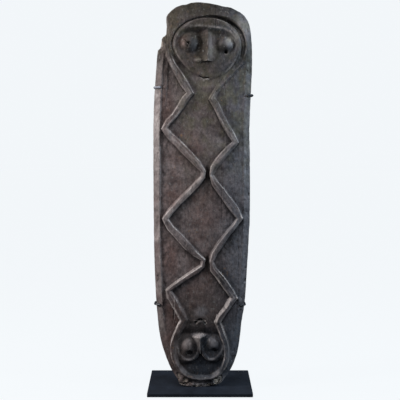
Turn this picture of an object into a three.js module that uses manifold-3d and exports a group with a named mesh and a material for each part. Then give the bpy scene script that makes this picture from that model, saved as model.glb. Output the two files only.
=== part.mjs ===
// Carved wooden votive panel, held upright on a steel plate by a post and four bent clips.
// Millimetres, +Z up. The carved front faces -Y. The origin is the middle of the plate's underside.

import * as THREE from 'three';
import { mergeVertices } from 'three/addons/utils/BufferGeometryUtils.js';
import Module from 'manifold-3d';

const wasm = await Module();
wasm.setup();

const { lerp, smoothstep, clamp } = THREE.MathUtils;

// Stand
const PLATE = { width: 410, depth: 280, thickness: 12, corner: 5, cornerSteps: 4 };
const POST = { width: 40, thickness: 10, top: 1215 };
const REST_GAP = 0.3;

// Panel: planes of the board
const FIELD_Y = -54;
const BACK_Y = -16;
const BACK_CHAMFER = 7;
const FOOT_Z = PLATE.thickness + REST_GAP;
const CROWN_Z = 1514;
const FIELD_CROWNING = 4;
const NARROW_WIDTH = 240;
const FIELD_COLUMNS = 6;
const ROWS = { first: 60, last: 1290, step: 41, closest: 1.5 };
const CURVE_STEPS = 2;

// How deep raised carving is sunk into the board, and how far cutters reach above it
const SUNK = -12;
const CUT_ABOVE = 20;

// Panel: edges from the foot up, as x and z. The smooth sides are curves, the breaks are straight.
const LEFT_FOOT = [[-32, FOOT_Z], [-64, 16], [-82, 22]];
const LEFT_SIDE = [
  [-90, 41], [-115, 79], [-139, 139], [-160, 218], [-173, 347], [-181, 579],
  [-182, 950], [-179, 1117], [-173, 1208], [-167, 1296], [-161, 1333],
];
const LEFT_BREAK = [[-153, 1338], [-148, 1372], [-143, 1381], [-130, 1392]];
const LEFT_CROWN = [[-128, 1421], [-130, 1452], [-111, 1481], [-64, 1503], [-11, CROWN_Z]];
const RIGHT_FOOT = [[24, FOOT_Z], [49, 20], [78, 23]];
const RIGHT_SIDE = [
  [92, 36], [122, 77], [154, 173], [178, 355], [188, 515], [196, 685], [195, 912],
  [193, 1009], [197, 1166], [201, 1296], [197, 1391], [184, 1443],
];
const RIGHT_CROWN = [[155, 1475], [120, 1494], [73, 1503], [38, 1510], [0, CROWN_Z]];

// Panel: the flat rim along both sides, in its run inwards and its heights over the field
const RIM = { run: 25, step: 6, edge: -9, leftCrest: 6, rightCrest: 1 };
const RIM_ENDS = { foot: [230, 330], head: [1270, 1345] };
const HOOD = {
  crest: 15, leftEdge: 9, rightEdge: 2, leftRun: 42, rightRun: 22, crownInset: 6, crownGrowth: 2,
};

// Carved band: corners as x, z and half width, and then for the leg that follows its shifts
// towards +x and its half widths at four stations, and the runs of its outer and inner walls
const BAND_TOP = 15;
const WALL = 4;
const BROAD_WALL = 9;
const LEG_STATIONS = [0.175, 0.375, 0.625, 0.825];
const LEFT_ZIGZAG = [
  [-126, 1344, 10, [-9, -11, -7, -4], [12, 13, 16, 17], WALL, WALL],
  [-36, 1169, 13, [-3, 0, 1, -3], [15, 14, 13, 13], WALL, WALL],
  [-135, 1033, 12, [1, 4, 7, 6], [17, 18, 18, 17], WALL, WALL],
  [14, 856, 10, [0, -1, -5, -5], [14, 14, 14, 14], BROAD_WALL, WALL],
  [-133, 683, 12, [-5, -4, -5, -3], [17, 18, 19, 18], WALL, WALL],
  [12, 510, 10.5, [1, -1, -3, -3], [14, 12, 11, 11], BROAD_WALL, WALL],
  [-124, 400, 12, [-2, 0, 0, -1], [17, 18, 18, 18], BROAD_WALL, BROAD_WALL],
];
const RIGHT_ZIGZAG = [
  [68, 274, 13, [-2, -2, -2, -4], [15, 15, 15, 15], WALL, 12],
  [136, 371, 13, [0, -1, -3, -8], [16, 16, 16, 15], WALL, WALL],
  [47, 513, 11, [-9, -9, -7, -2], [14, 15, 13, 12], WALL, BROAD_WALL],
  [156, 686, 12, [1, 0, -3, -6], [18, 18, 17, 15], WALL, WALL],
  [47, 854, 10, [-9, -9, -6, -3], [14, 15, 14, 15], WALL, WALL],
  [138, 981, 12, [-1, -3, -1, 2], [15, 14, 14, 15], WALL, WALL],
  [46, 1147, 13, [-7, -11, -11, -7], [12, 12, 12, 12], WALL, WALL],
  [166, 1290, 11, [], [], WALL, WALL],
];
const FAINT = { top: 4, fadeLegs: 0.3 };
const MITRE_LIMIT = 0.45;

// The loop at the foot, as x, z, half width and the run of its inner wall
const LOOP_TOP = 12;
const LOWER_LOOP = [
  [-62, 284, 15, 9], [-87, 230, 16, 14], [-103, 178, 17, 22], [-99, 134, 17, 24],
  [-83, 93, 14, 19], [-50, 58, 11, 14], [-3, 47, 11, 15], [50, 52, 11, 14],
  [85, 78, 11, 7], [103, 122, 11, WALL], [104, 172, 11, WALL], [89, 220, 11.5, WALL],
];

// Upper face: an egg outline, dished round the eyes, with a groove round its top
const FACE = {
  x: 25, z: 1345, halfWidth: 128, up: 104, down: 129, top: 15, bevel: 5,
  powers: { up: 2.1, downLeft: 1.46, downRight: 1.85 },
  lowDrop: 4, lowFrom: 0.55, sides: 40,
};
const GROOVE = {
  floor: -3, startDegrees: 212, endDegrees: -26, steps: 22,
  left: { offset: 5, half: 4 },
  right: { offset: 11, half: 7.5 },
  widens: [0.4, 0.75],
};
const UPPER_SOCKETS = [
  { x: 30, z: 1364, rx: 104, rz: 52, depth: 8 },
  { x: -42, z: 1361, rx: 52, rz: 56, depth: 13 },
  { x: 103, z: 1356, rx: 46, rz: 56, depth: 13 },
];
const UPPER_EYE_MIDDLE = 1;
const UPPER_EYES = [
  { x: -42, z: 1358, r: 42, height: 19 },
  { x: 98, z: 1350, r: 35, height: 18 },
];
const UPPER_NOSE = {
  ridge: 30,
  top: { z: 1418, left: 3, right: 47, height: 12 },
  tip: { z: 1289, left: -14, right: 58, height: 27 },
  underside: 10,
};
const NOSE_EDGE = 3;
const NOSE_END = 2;
const UPPER_MOUTH = {
  left: [0, 1231], middle: [18, 1227], right: [38, 1225], half: 3.2, depth: 7, level: 11,
};

// Lower face, upside down inside the loop
const RECESS = { floor: -7, ledge: [[-70, 238], [-30, 240], [0, 244], [31, 240], [68, 232]] };
const LEDGE_SWELL = { x: 0, z: 300, rx: 46, rz: 50, height: 7 };
const LOWER_MOUTH = {
  left: [-16, 265], middle: [2, 278], right: [25, 264], half: 3, depth: 6, level: 4,
};
const LOWER_EYE_MIDDLE = -8;
const LOWER_EYES = [
  { x: -47, z: 171, rx: 25, rz: 31, height: 12, hole: [-42, 150, 11] },
  { x: 52, z: 183, rx: 23, rz: 26, height: 12, hole: [55, 161, 9] },
];
const PUPIL = { below: 3, depth: 15 };
const LOWER_NOSE = {
  ridge: 0,
  top: { z: 150, left: -11, right: 9, height: 5 },
  tip: { z: 214, left: -36, right: 26, height: 22 },
  underside: 15,
};
const BROW_ARCS = [
  { x: -44, z: 172, rx: 41, rz: 52 },
  { x: 48, z: 172, rx: 42, rz: 50 },
];
const BROW_ARC = { half: 9, top: 6, run: 5, steps: 12 };

// Clips: one bent rod each, from the post round the edge to a hook that lies on the sloping rim
const CLIP = { radius: 4.5, bend: 4, sides: 8, steps: 24 };
const CLIPS = [
  { name: 'upper_left_clip', side: -1, z: 1191, tip: 153, outer: 180 },
  { name: 'upper_right_clip', side: 1, z: 1161, tip: 184, outer: 207 },
  { name: 'lower_left_clip', side: -1, z: 344, tip: 157, outer: 182 },
  { name: 'lower_right_clip', side: 1, z: 341, tip: 158, outer: 182 },
];

// Seats of the clips: shallow dents in the edge, just taller than the rods
const SEAT = { half: CLIP.radius + REST_GAP, run: 2, slack: 1, lift: 1 };

// Materials
const WOOD = { color: 0x574b45, roughness: 0.7, metalness: 0 };
const BLACK_STEEL = { color: 0x1b1f27, roughness: 0.45, metalness: 0.6 };

// Solids

const WELD = 1e-4;
const MIDDLE = 0.25;
const DOME = { around: 16, down: 10 };

function solidOf(geometry) {
  const bare = geometry.clone();
  bare.deleteAttribute('normal');
  bare.deleteAttribute('uv');
  const merged = mergeVertices(bare, WELD);
  const index = Array.from(merged.index.array);
  const triVerts = [];
  for (let i = 0; i < index.length; i += 3) {
    const [a, b, c] = index.slice(i, i + 3);
    if (a !== b && b !== c && c !== a) {
      triVerts.push(a, b, c);
    }
  }
  return new wasm.Manifold(new wasm.Mesh({
    numProp: 3,
    vertProperties: new Float32Array(merged.attributes.position.array),
    triVerts: new Uint32Array(triVerts),
  }));
}

function geometryOf(solid) {
  const mesh = solid.getMesh();
  const geometry = new THREE.BufferGeometry();
  geometry.setAttribute('position', new THREE.BufferAttribute(mesh.vertProperties, 3));
  geometry.setIndex(new THREE.BufferAttribute(mesh.triVerts, 1));
  geometry.computeVertexNormals();
  return geometry;
}

// Moves each point of a unit shape to the place that the rule gives for it
function warp(geometry, rule) {
  const position = geometry.attributes.position;
  for (let i = 0; i < position.count; i += 1) {
    const [x, y, z] = rule(position.getX(i), position.getY(i), position.getZ(i));
    position.setXYZ(i, x, y, z);
  }
  return geometry;
}

// A height over the carved field, as a y
function front(height) {
  return FIELD_Y - height;
}

// A squashed ball with its middle at a height over the field
function dome({ x, z, rx, rz, middle, rise }) {
  const ball = new THREE.SphereGeometry(1, DOME.around, DOME.down);
  return solidOf(warp(ball, (u, v, w) => [x + u * rx, front(middle) + v * rise, z + w * rz]));
}

// Edges of the panel

function curveThrough(points) {
  const knots = points.map(([x, z]) => new THREE.Vector2(x, z));
  const curve = new THREE.SplineCurve(knots);
  return curve.getPoints(CURVE_STEPS * (points.length - 1)).map((point) => [point.x, point.y]);
}

const leftEdge = [...LEFT_FOOT, ...curveThrough(LEFT_SIDE), ...LEFT_BREAK, ...LEFT_CROWN];
const rightEdge = [...RIGHT_FOOT, ...curveThrough(RIGHT_SIDE), ...RIGHT_CROWN];

function along(edge, z) {
  const next = edge.findIndex((point) => point[1] >= z);
  if (next <= 0) {
    return next === 0 ? edge[0][0] : edge[edge.length - 1][0];
  }
  const [x0, z0] = edge[next - 1];
  const [x1, z1] = edge[next];
  return lerp(x0, x1, (z - z0) / (z1 - z0));
}

// Depth of a clip's seat: what the edge stands out past the rod's inner side
function seatDepth({ side, z, outer }) {
  const edge = Math.abs(along(side < 0 ? leftEdge : rightEdge, z));
  const rodInside = outer - 2 * CLIP.radius - REST_GAP;
  return Math.max(0, edge + SEAT.slack - rodInside);
}

function dentAt(side, z) {
  const depths = CLIPS.filter((clip) => clip.side === side).map((clip) => {
    const past = Math.abs(z - clip.z) - SEAT.half;
    return seatDepth(clip) * clamp(1 - past / SEAT.run, 0, 1);
  });
  return Math.max(...depths);
}

function leftAt(z) {
  return along(leftEdge, z) + dentAt(-1, z);
}

function rightAt(z) {
  return along(rightEdge, z) - dentAt(1, z);
}

// Heights at which the board is cut into rows, closer where its edges turn
function rowHeights() {
  const plain = [];
  for (let z = ROWS.first; z < ROWS.last; z += ROWS.step) {
    plain.push(z);
  }
  const seatOffsets = [-SEAT.half - SEAT.run, -SEAT.half, SEAT.half, SEAT.half + SEAT.run];
  const around = CLIPS.flatMap((clip) => seatOffsets.map((offset) => clip.z + offset));
  const corners = [...leftEdge, ...rightEdge].map((point) => point[1]);
  const ends = corners.filter((z) => z < ROWS.first || z > ROWS.last);
  const sorted = [...plain, ...around, ...ends].sort((a, b) => a - b);
  const rows = [];
  for (const z of sorted) {
    const last = rows[rows.length - 1] ?? -Infinity;
    if (z - last >= ROWS.closest || z === CROWN_Z) {
      rows.push(z);
    }
  }
  return rows;
}

// Height of the board's front at a point that lies so far in from its two edges
function boardHeight(z, fromLeft, fromRight) {
  const half = (fromLeft + fromRight) / 2;
  const middle = 1 - ((fromLeft - half) / half) ** 2;
  const crowned = FIELD_CROWNING * middle;
  const inset = Math.min(fromLeft, fromRight);
  const isLeft = fromLeft < fromRight;
  const rimShare = smoothstep(z, ...RIM_ENDS.foot);
  const crest = (isLeft ? RIM.leftCrest : RIM.rightCrest) * rimShare;
  const rim = inset < RIM.run
    ? lerp(RIM.edge, crest, inset / RIM.run)
    : lerp(crest, 0, clamp((inset - RIM.run) / RIM.step, 0, 1));
  const hoodRun = isLeft ? HOOD.leftRun : HOOD.rightRun;
  const hoodEdge = isLeft ? HOOD.leftEdge : HOOD.rightEdge;
  const deepest = HOOD.crownInset + HOOD.crownGrowth * (CROWN_Z - z);
  const hood = lerp(hoodEdge, HOOD.crest, smoothstep(Math.min(inset, deepest), 0, hoodRun));
  return lerp(Math.max(rim, rim + crowned), hood, smoothstep(z, ...RIM_ENDS.head));
}

function board() {
  const rows = rowHeights();
  const insets = [0, RIM.run, RIM.run + RIM.step];
  const columns = 2 * (insets.length - 1) + FIELD_COLUMNS;
  const slab = new THREE.BoxGeometry(1, 1, 1, columns, 1, rows.length - 1);
  return solidOf(warp(slab, (u, v, w) => {
    const z = rows[Math.round((w + 0.5) * (rows.length - 1))];
    const column = Math.round((u + 0.5) * columns);
    const left = leftAt(z);
    const right = rightAt(z);
    const width = right - left;
    const squeeze = Math.min(1, width / NARROW_WIDTH);
    const mirrored = Math.min(column, columns - column);
    const last = insets[insets.length - 1] * squeeze;
    const inset = mirrored < insets.length
      ? insets[mirrored] * squeeze
      : last + ((mirrored - insets.length + 1) / FIELD_COLUMNS) * (width - 2 * last);
    const fromLeft = column <= columns / 2 ? inset : width - inset;
    const x = left + fromLeft;
    const height = boardHeight(z, fromLeft / squeeze, (width - fromLeft) / squeeze);
    const nearest = Math.min(fromLeft, width - fromLeft);
    const back = BACK_Y - BACK_CHAMFER * (1 - clamp(nearest / RIM.run, 0, 1));
    return [x, v < 0 ? front(height) : back, z];
  }));
}

// Raised strip along a path of { x, z, half, outer, inner, base, top }, sunk into the board.
// Its walls rise from its half width at the base to the top over their runs.
function strip(path, { floor }) {
  const sections = path.map((point, i) => {
    const before = path[Math.max(i - 1, 0)];
    const after = path[Math.min(i + 1, path.length - 1)];
    const into = new THREE.Vector2(point.x - before.x, point.z - before.z).normalize();
    const out = new THREE.Vector2(after.x - point.x, after.z - point.z).normalize();
    const heading = into.clone().add(out).normalize();
    const straight = into.lengthSq() > 0 ? into : out;
    const mitre = 1 / Math.max(MITRE_LIMIT, heading.dot(straight));
    return { ...point, heading, mitre };
  });
  const box = new THREE.BoxGeometry(1, 1, 1, 1, 1, sections.length - 1);
  return solidOf(warp(box, (u, v, w) => {
    const at = sections[Math.round((w + 0.5) * (sections.length - 1))];
    const isTop = v < 0;
    const wall = u > 0 ? at.outer : at.inner;
    const height = isTop ? at.top : floor;
    const risen = Math.max(0, height - at.base) / (at.top - at.base);
    const reach = (at.half - wall * risen) * at.mitre;
    const across = Math.sign(u) * reach;
    return [at.x + at.heading.y * across, front(height), at.z - at.heading.x * across];
  }));
}

// Path of the band: legs between corners, each with its own shifts and widths on the way
function zigzagPath(corners, last, topOf) {
  const path = [];
  corners.forEach(([x, z, half, shifts, halves, outer, inner], i) => {
    const [nextX, nextZ] = corners[i + 1] ?? last;
    const length = Math.hypot(nextX - x, nextZ - z);
    const side = Math.sign(nextZ - z);
    const normal = [side * (nextZ - z) / length, -side * (nextX - x) / length];
    path.push({ x, z, half, outer, inner, base: 0, top: topOf(i) });
    LEG_STATIONS.forEach((t, k) => {
      path.push({
        x: lerp(x, nextX, t) + normal[0] * shifts[k],
        z: lerp(z, nextZ, t) + normal[1] * shifts[k],
        half: halves[k],
        outer,
        inner,
        base: 0,
        top: topOf(i + t),
      });
    });
  });
  return path;
}

function loopBand() {
  const full = () => BAND_TOP;
  const faintFrom = RIGHT_ZIGZAG.length - 2;
  const fading = (leg) => {
    const faded = smoothstep(leg, faintFrom, faintFrom + FAINT.fadeLegs);
    return lerp(BAND_TOP, FAINT.top, faded);
  };
  const loop = LOWER_LOOP.map(([x, z, half, inner]) => ({
    x, z, half, outer: WALL, inner, base: RECESS.floor, top: LOOP_TOP,
  }));
  const end = RIGHT_ZIGZAG[RIGHT_ZIGZAG.length - 1];
  const path = [
    ...zigzagPath(LEFT_ZIGZAG, LOWER_LOOP[0], full),
    ...loop,
    ...zigzagPath(RIGHT_ZIGZAG.slice(0, -1), end, fading),
    { x: end[0], z: end[1], half: end[2], outer: WALL, inner: WALL, base: 0, top: FAINT.top },
  ];
  return strip(path, { floor: SUNK });
}

// Radius of the upper face's outline in a direction, as a rounded egg
function faceRadius(angle) {
  const c = Math.abs(Math.cos(angle)) / FACE.halfWidth;
  const down = Math.sin(angle) < 0;
  const s = Math.abs(Math.sin(angle)) / (down ? FACE.down : FACE.up);
  const { powers } = FACE;
  const downPower = Math.cos(angle) < 0 ? powers.downLeft : powers.downRight;
  const power = down ? downPower : powers.up;
  return (c ** power + s ** power) ** (-1 / power);
}

function faceMask() {
  const disc = new THREE.CylinderGeometry(1, 1, 1, FACE.sides, 2);
  return solidOf(warp(disc, (u, v, w) => {
    const radius = Math.hypot(u, w);
    if (radius < MIDDLE) {
      return [FACE.x, v > 0 ? front(FACE.top) : front(SUNK), FACE.z];
    }
    const angle = Math.atan2(-w, u);
    const isLow = smoothstep(-Math.sin(angle), FACE.lowFrom, 1);
    const top = FACE.top - FACE.lowDrop * isLow;
    const isTop = v > MIDDLE;
    const isShoulder = Math.abs(v) < MIDDLE;
    const reach = faceRadius(angle) - (isTop ? FACE.bevel : 0);
    const shoulder = top - FACE.bevel;
    const height = isTop ? top : isShoulder ? shoulder : SUNK;
    return [FACE.x + reach * Math.cos(angle), front(height), FACE.z + reach * Math.sin(angle)];
  }));
}

// The groove follows the face's outline at a distance, wider on the right
function grooveCutter() {
  const { left, right } = GROOVE;
  const path = [];
  for (let i = 0; i <= GROOVE.steps; i += 1) {
    const share = i / GROOVE.steps;
    const angle = THREE.MathUtils.degToRad(lerp(GROOVE.startDegrees, GROOVE.endDegrees, share));
    const toRight = smoothstep(share, ...GROOVE.widens);
    const radius = faceRadius(angle) + lerp(left.offset, right.offset, toRight);
    path.push({
      x: FACE.x + radius * Math.cos(angle),
      z: FACE.z + radius * Math.sin(angle),
      half: lerp(left.half, right.half, toRight),
      outer: 0,
      inner: 0,
      base: 0,
      top: FACE.top + CUT_ABOVE,
    });
  }
  return strip(path, { floor: GROOVE.floor });
}

// A nose is a wedge with a ridge, cut off square below
function nose({ ridge, top, tip, underside }) {
  const beyond = tip.z < top.z ? tip.z - underside : tip.z + underside;
  const stations = [top, tip, { z: beyond, left: tip.left, right: tip.right, height: NOSE_END }];
  const ordered = stations[0].z < stations[2].z ? stations : stations.reverse();
  const wedge = new THREE.BoxGeometry(1, 1, 1, 2, 1, ordered.length - 1);
  return solidOf(warp(wedge, (u, v, w) => {
    const at = ordered[Math.round((w + 0.5) * (ordered.length - 1))];
    const isRidge = Math.abs(u) < MIDDLE;
    const edge = u < 0 ? at.left : at.right;
    const foot = Math.min(at.height, NOSE_EDGE);
    const surface = isRidge ? at.height : foot;
    return [isRidge ? ridge : edge, front(v > 0 ? SUNK : surface), at.z];
  }));
}

// A slit with pointed ends, cut to a depth below the level around it
function mouthCutter({ left, middle, right, half, depth, level }) {
  const shape = new THREE.Shape([
    new THREE.Vector2(left[0], left[1]),
    new THREE.Vector2(middle[0], middle[1] - half),
    new THREE.Vector2(right[0], right[1]),
    new THREE.Vector2(middle[0], middle[1] + half),
  ]);
  const slit = new THREE.ExtrudeGeometry(shape, { depth: 1, bevelEnabled: false });
  const floor = level - depth;
  return solidOf(warp(slit, (x, z, w) => [x, front(lerp(floor, level + CUT_ABOVE, w)), z]));
}

// The recess round the lower face: inside the loop, below the lower mouth
function recessCutter() {
  const around = LOWER_LOOP.map(([x, z]) => new THREE.Vector2(x, z));
  const ledge = RECESS.ledge.map(([x, z]) => new THREE.Vector2(x, z)).reverse();
  const shape = new THREE.Shape([...around.slice(1), ...ledge]);
  const block = new THREE.ExtrudeGeometry(shape, { depth: 1, bevelEnabled: false });
  return solidOf(warp(block, (x, z, w) => [x, front(lerp(RECESS.floor, CUT_ABOVE, w)), z]));
}

function browArc({ x, z, rx, rz }) {
  const path = [];
  for (let i = 0; i <= BROW_ARC.steps; i += 1) {
    const angle = Math.PI + (i / BROW_ARC.steps) * Math.PI;
    path.push({
      x: x + rx * Math.cos(angle),
      z: z + rz * Math.sin(angle),
      half: BROW_ARC.half,
      outer: BROW_ARC.run,
      inner: BROW_ARC.run,
      base: RECESS.floor,
      top: BROW_ARC.top,
    });
  }
  return strip(path, { floor: SUNK });
}

function panelSolid() {
  let wood = board();

  const swell = { ...LEDGE_SWELL, middle: 0, rise: LEDGE_SWELL.height };
  wood = wood.add(dome(swell));
  wood = wood.subtract(recessCutter());
  wood = wood.subtract(mouthCutter(LOWER_MOUTH));
  wood = wood.add(loopBand());
  for (const eye of LOWER_EYES) {
    const [holeX, holeZ, holeRadius] = eye.hole;
    const rise = eye.height - LOWER_EYE_MIDDLE;
    const holeMiddle = eye.height - PUPIL.below;
    wood = wood.add(dome({ ...eye, middle: LOWER_EYE_MIDDLE, rise }));
    wood = wood.subtract(dome({
      x: holeX, z: holeZ, rx: holeRadius, rz: holeRadius, middle: holeMiddle, rise: PUPIL.depth,
    }));
  }
  for (const arc of BROW_ARCS) {
    wood = wood.add(browArc(arc));
  }
  wood = wood.add(nose(LOWER_NOSE));

  wood = wood.subtract(grooveCutter());
  wood = wood.add(faceMask());
  for (const socket of UPPER_SOCKETS) {
    wood = wood.subtract(dome({ ...socket, middle: FACE.top, rise: socket.depth }));
  }
  for (const eye of UPPER_EYES) {
    const rise = eye.height - UPPER_EYE_MIDDLE;
    wood = wood.add(dome({ ...eye, rx: eye.r, rz: eye.r, middle: UPPER_EYE_MIDDLE, rise }));
  }
  wood = wood.add(nose(UPPER_NOSE));
  wood = wood.subtract(mouthCutter(UPPER_MOUTH));
  return wood;
}

// Stand

function plateGeometry() {
  const { width, depth, thickness, corner, cornerSteps } = PLATE;
  const x = width / 2;
  const y = depth / 2;
  const shape = new THREE.Shape();
  shape.moveTo(-x + corner, -y);
  shape.lineTo(x - corner, -y);
  shape.absarc(x - corner, -y + corner, corner, -Math.PI / 2, 0);
  shape.lineTo(x, y - corner);
  shape.absarc(x - corner, y - corner, corner, 0, Math.PI / 2);
  shape.lineTo(-x + corner, y);
  shape.absarc(-x + corner, y - corner, corner, Math.PI / 2, Math.PI);
  shape.lineTo(-x, -y + corner);
  shape.absarc(-x + corner, -y + corner, corner, Math.PI, 1.5 * Math.PI);
  return new THREE.ExtrudeGeometry(shape, {
    depth: thickness, bevelEnabled: false, curveSegments: cornerSteps,
  });
}

function postGeometry() {
  const bottom = PLATE.thickness + REST_GAP;
  const bar = new THREE.BoxGeometry(POST.width, POST.thickness, POST.top - bottom);
  bar.translate(0, BACK_Y + REST_GAP + POST.thickness / 2, (POST.top + bottom) / 2);
  return bar;
}

// Centre line of a clip: out from the post, forward past the edge, and in along the sloping rim
function clipPath({ side, z, tip, outer }) {
  const { radius, bend } = CLIP;
  const width = rightAt(z) - leftAt(z);
  const edge = Math.abs(side < 0 ? leftAt(z) : rightAt(z));
  const rimHeight = (inset) => {
    const fromLeft = side < 0 ? inset : width - inset;
    return boardHeight(z, fromLeft, width - fromLeft);
  };
  const outerEdge = new THREE.Vector2(edge, front(rimHeight(0)));
  const crest = new THREE.Vector2(edge - RIM.run, front(rimHeight(RIM.run)));
  const inward = crest.clone().sub(outerEdge).normalize();
  const away = new THREE.Vector2(-inward.y, inward.x).multiplyScalar(radius + REST_GAP + SEAT.lift);
  const slope = inward.y / inward.x;
  const yAt = (x) => outerEdge.y + away.y + (x - outerEdge.x - away.x) * slope;

  const backY = BACK_Y + REST_GAP + radius;
  const outX = outer - radius;
  const hookY = yAt(outX);
  const point = (x, y) => new THREE.Vector3(side * x, y, z);
  const corner = (from, middle, to) => new THREE.QuadraticBezierCurve3(from, middle, to);
  const backBend = [point(outX - bend, backY), point(outX, backY), point(outX, backY - bend)];
  const hookEnd = point(outX + bend * inward.x, hookY + bend * inward.y);
  const hookBend = [point(outX, hookY + bend), point(outX, hookY), hookEnd];
  const path = new THREE.CurvePath();
  path.add(new THREE.LineCurve3(point(POST.width / 2 + REST_GAP, backY), backBend[0]));
  path.add(corner(...backBend));
  path.add(new THREE.LineCurve3(backBend[2], hookBend[0]));
  path.add(corner(...hookBend));
  path.add(new THREE.LineCurve3(hookEnd, point(tip, yAt(tip))));
  return path;
}

function clipGeometry(clip) {
  const section = new THREE.Shape();
  section.absarc(0, 0, CLIP.radius, 0, 2 * Math.PI);
  return new THREE.ExtrudeGeometry(section, {
    extrudePath: clipPath(clip),
    steps: CLIP.steps,
    curveSegments: CLIP.sides / 2,
    bevelEnabled: false,
  });
}

// The whole object

function piece(name, geometry, finish) {
  const mesh = new THREE.Mesh(geometry, new THREE.MeshStandardMaterial(finish));
  mesh.name = name;
  return mesh;
}

const votivePanel = new THREE.Group();
votivePanel.add(piece('panel', geometryOf(panelSolid()), WOOD));
votivePanel.add(piece('base_plate', plateGeometry(), BLACK_STEEL));
votivePanel.add(piece('post', postGeometry(), BLACK_STEEL));
for (const clip of CLIPS) {
  votivePanel.add(piece(clip.name, clipGeometry(clip), BLACK_STEEL));
}

export default votivePanel;
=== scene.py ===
import logging
import math
from collections.abc import Callable
from dataclasses import dataclass, field
from enum import Enum

import bpy
import numpy as np
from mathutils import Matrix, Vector


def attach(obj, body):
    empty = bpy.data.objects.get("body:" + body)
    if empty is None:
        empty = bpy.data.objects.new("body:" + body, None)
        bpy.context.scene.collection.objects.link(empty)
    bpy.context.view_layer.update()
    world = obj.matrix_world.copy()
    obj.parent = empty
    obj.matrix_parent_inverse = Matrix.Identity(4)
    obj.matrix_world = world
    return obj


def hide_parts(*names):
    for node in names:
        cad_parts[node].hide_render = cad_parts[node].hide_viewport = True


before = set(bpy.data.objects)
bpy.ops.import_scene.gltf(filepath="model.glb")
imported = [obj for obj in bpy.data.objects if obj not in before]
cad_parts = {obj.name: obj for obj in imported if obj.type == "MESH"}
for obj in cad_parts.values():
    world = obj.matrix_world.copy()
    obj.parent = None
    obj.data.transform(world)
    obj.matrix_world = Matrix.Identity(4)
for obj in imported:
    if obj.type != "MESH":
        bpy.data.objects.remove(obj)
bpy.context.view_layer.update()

LOG = logging.getLogger("votive_panel")
MM = 0.001

Array = np.ndarray
Points = tuple[tuple[float, float], ...]


# Curves, blends and noise

def ramp(value: Array, low: float, high: float) -> Array:
    """Straight rise from 0 at low to 1 at high."""
    return np.clip((value - low) / (high - low), 0.0, 1.0)


def ease(value: Array, low: float, high: float) -> Array:
    """Rounded rise from 0 at low to 1 at high."""
    t = ramp(value, low, high)
    return t * t * (3.0 - 2.0 * t)


def lerp(start: Array, end: Array, share: Array) -> Array:
    """Blend from start to end."""
    return start + (end - start) * share


def soft_max(a: Array, b: Array, soft: float) -> Array:
    """The higher of two surfaces, with their meeting line filled by a small fillet.

    Args:
        a: First surface.
        b: Second surface.
        soft: Size of the fillet.

    Returns:
        The joined surface.
    """
    near = np.clip(1.0 - np.abs(a - b) / soft, 0.0, 1.0)
    return np.maximum(a, b) + soft * near * near / 4.0


def soft_min(a: Array, b: Array, soft: float) -> Array:
    """The lower of two surfaces, with a small fillet where they meet."""
    return -soft_max(-a, -b, soft)


def curve_through(points: Points, steps: int = 8) -> list[tuple[float, float]]:
    """Smooth curve through points.

    Args:
        points: The points, in order.
        steps: Stretches between two points.

    Returns:
        The points of the curve.
    """
    knots = np.array([points[0], *points, points[-1]], float)
    out = []
    for i in range(1, len(knots) - 2):
        a, b, c, d = knots[i - 1:i + 3]
        for step in range(steps):
            t = step / steps
            bend = (2 * a - 5 * b + 4 * c - d) * t**2 + (3 * b - a - 3 * c + d) * t**3
            out.append(tuple(0.5 * (2 * b + (c - a) * t + bend)))
    out.append(tuple(points[-1]))
    return out


class Noise:
    """Smooth seeded noise over the panel's plane, between -1 and 1."""

    SIDE = 256

    def __init__(self, seed: int) -> None:
        """Fill the table that the noise is read from.

        Args:
            seed: Seed of the table.
        """
        self.table = np.random.default_rng(seed).uniform(-1.0, 1.0, (self.SIDE, self.SIDE))

    def at(self, x: Array, z: Array, wide: float, tall: float) -> Array:
        """Noise at places on the panel.

        Args:
            x: Places across.
            z: Places up.
            wide: Size of a patch across.
            tall: Size of a patch up.

        Returns:
            The noise at each place.
        """
        u, v = x / wide + 37.3, z / tall + 11.7
        i, j = np.floor(u).astype(int), np.floor(v).astype(int)
        fu, fv = ease(u - i, 0.0, 1.0), ease(v - j, 0.0, 1.0)
        i0, j0 = i % self.SIDE, j % self.SIDE
        i1, j1 = (i + 1) % self.SIDE, (j + 1) % self.SIDE
        low = lerp(self.table[i0, j0], self.table[i1, j0], fu)
        high = lerp(self.table[i0, j1], self.table[i1, j1], fu)
        return lerp(low, high, fv)

    def layered(self, x: Array, z: Array, wide: float, tall: float, layers: int = 3) -> Array:
        """Several sizes of the noise added up, each half as large as the one before."""
        total = np.zeros_like(x)
        for layer in range(layers):
            size = 0.5**layer
            total += size * self.at(x + 91.0 * layer, z - 57.0 * layer, wide * size, tall * size)
        return total


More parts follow.
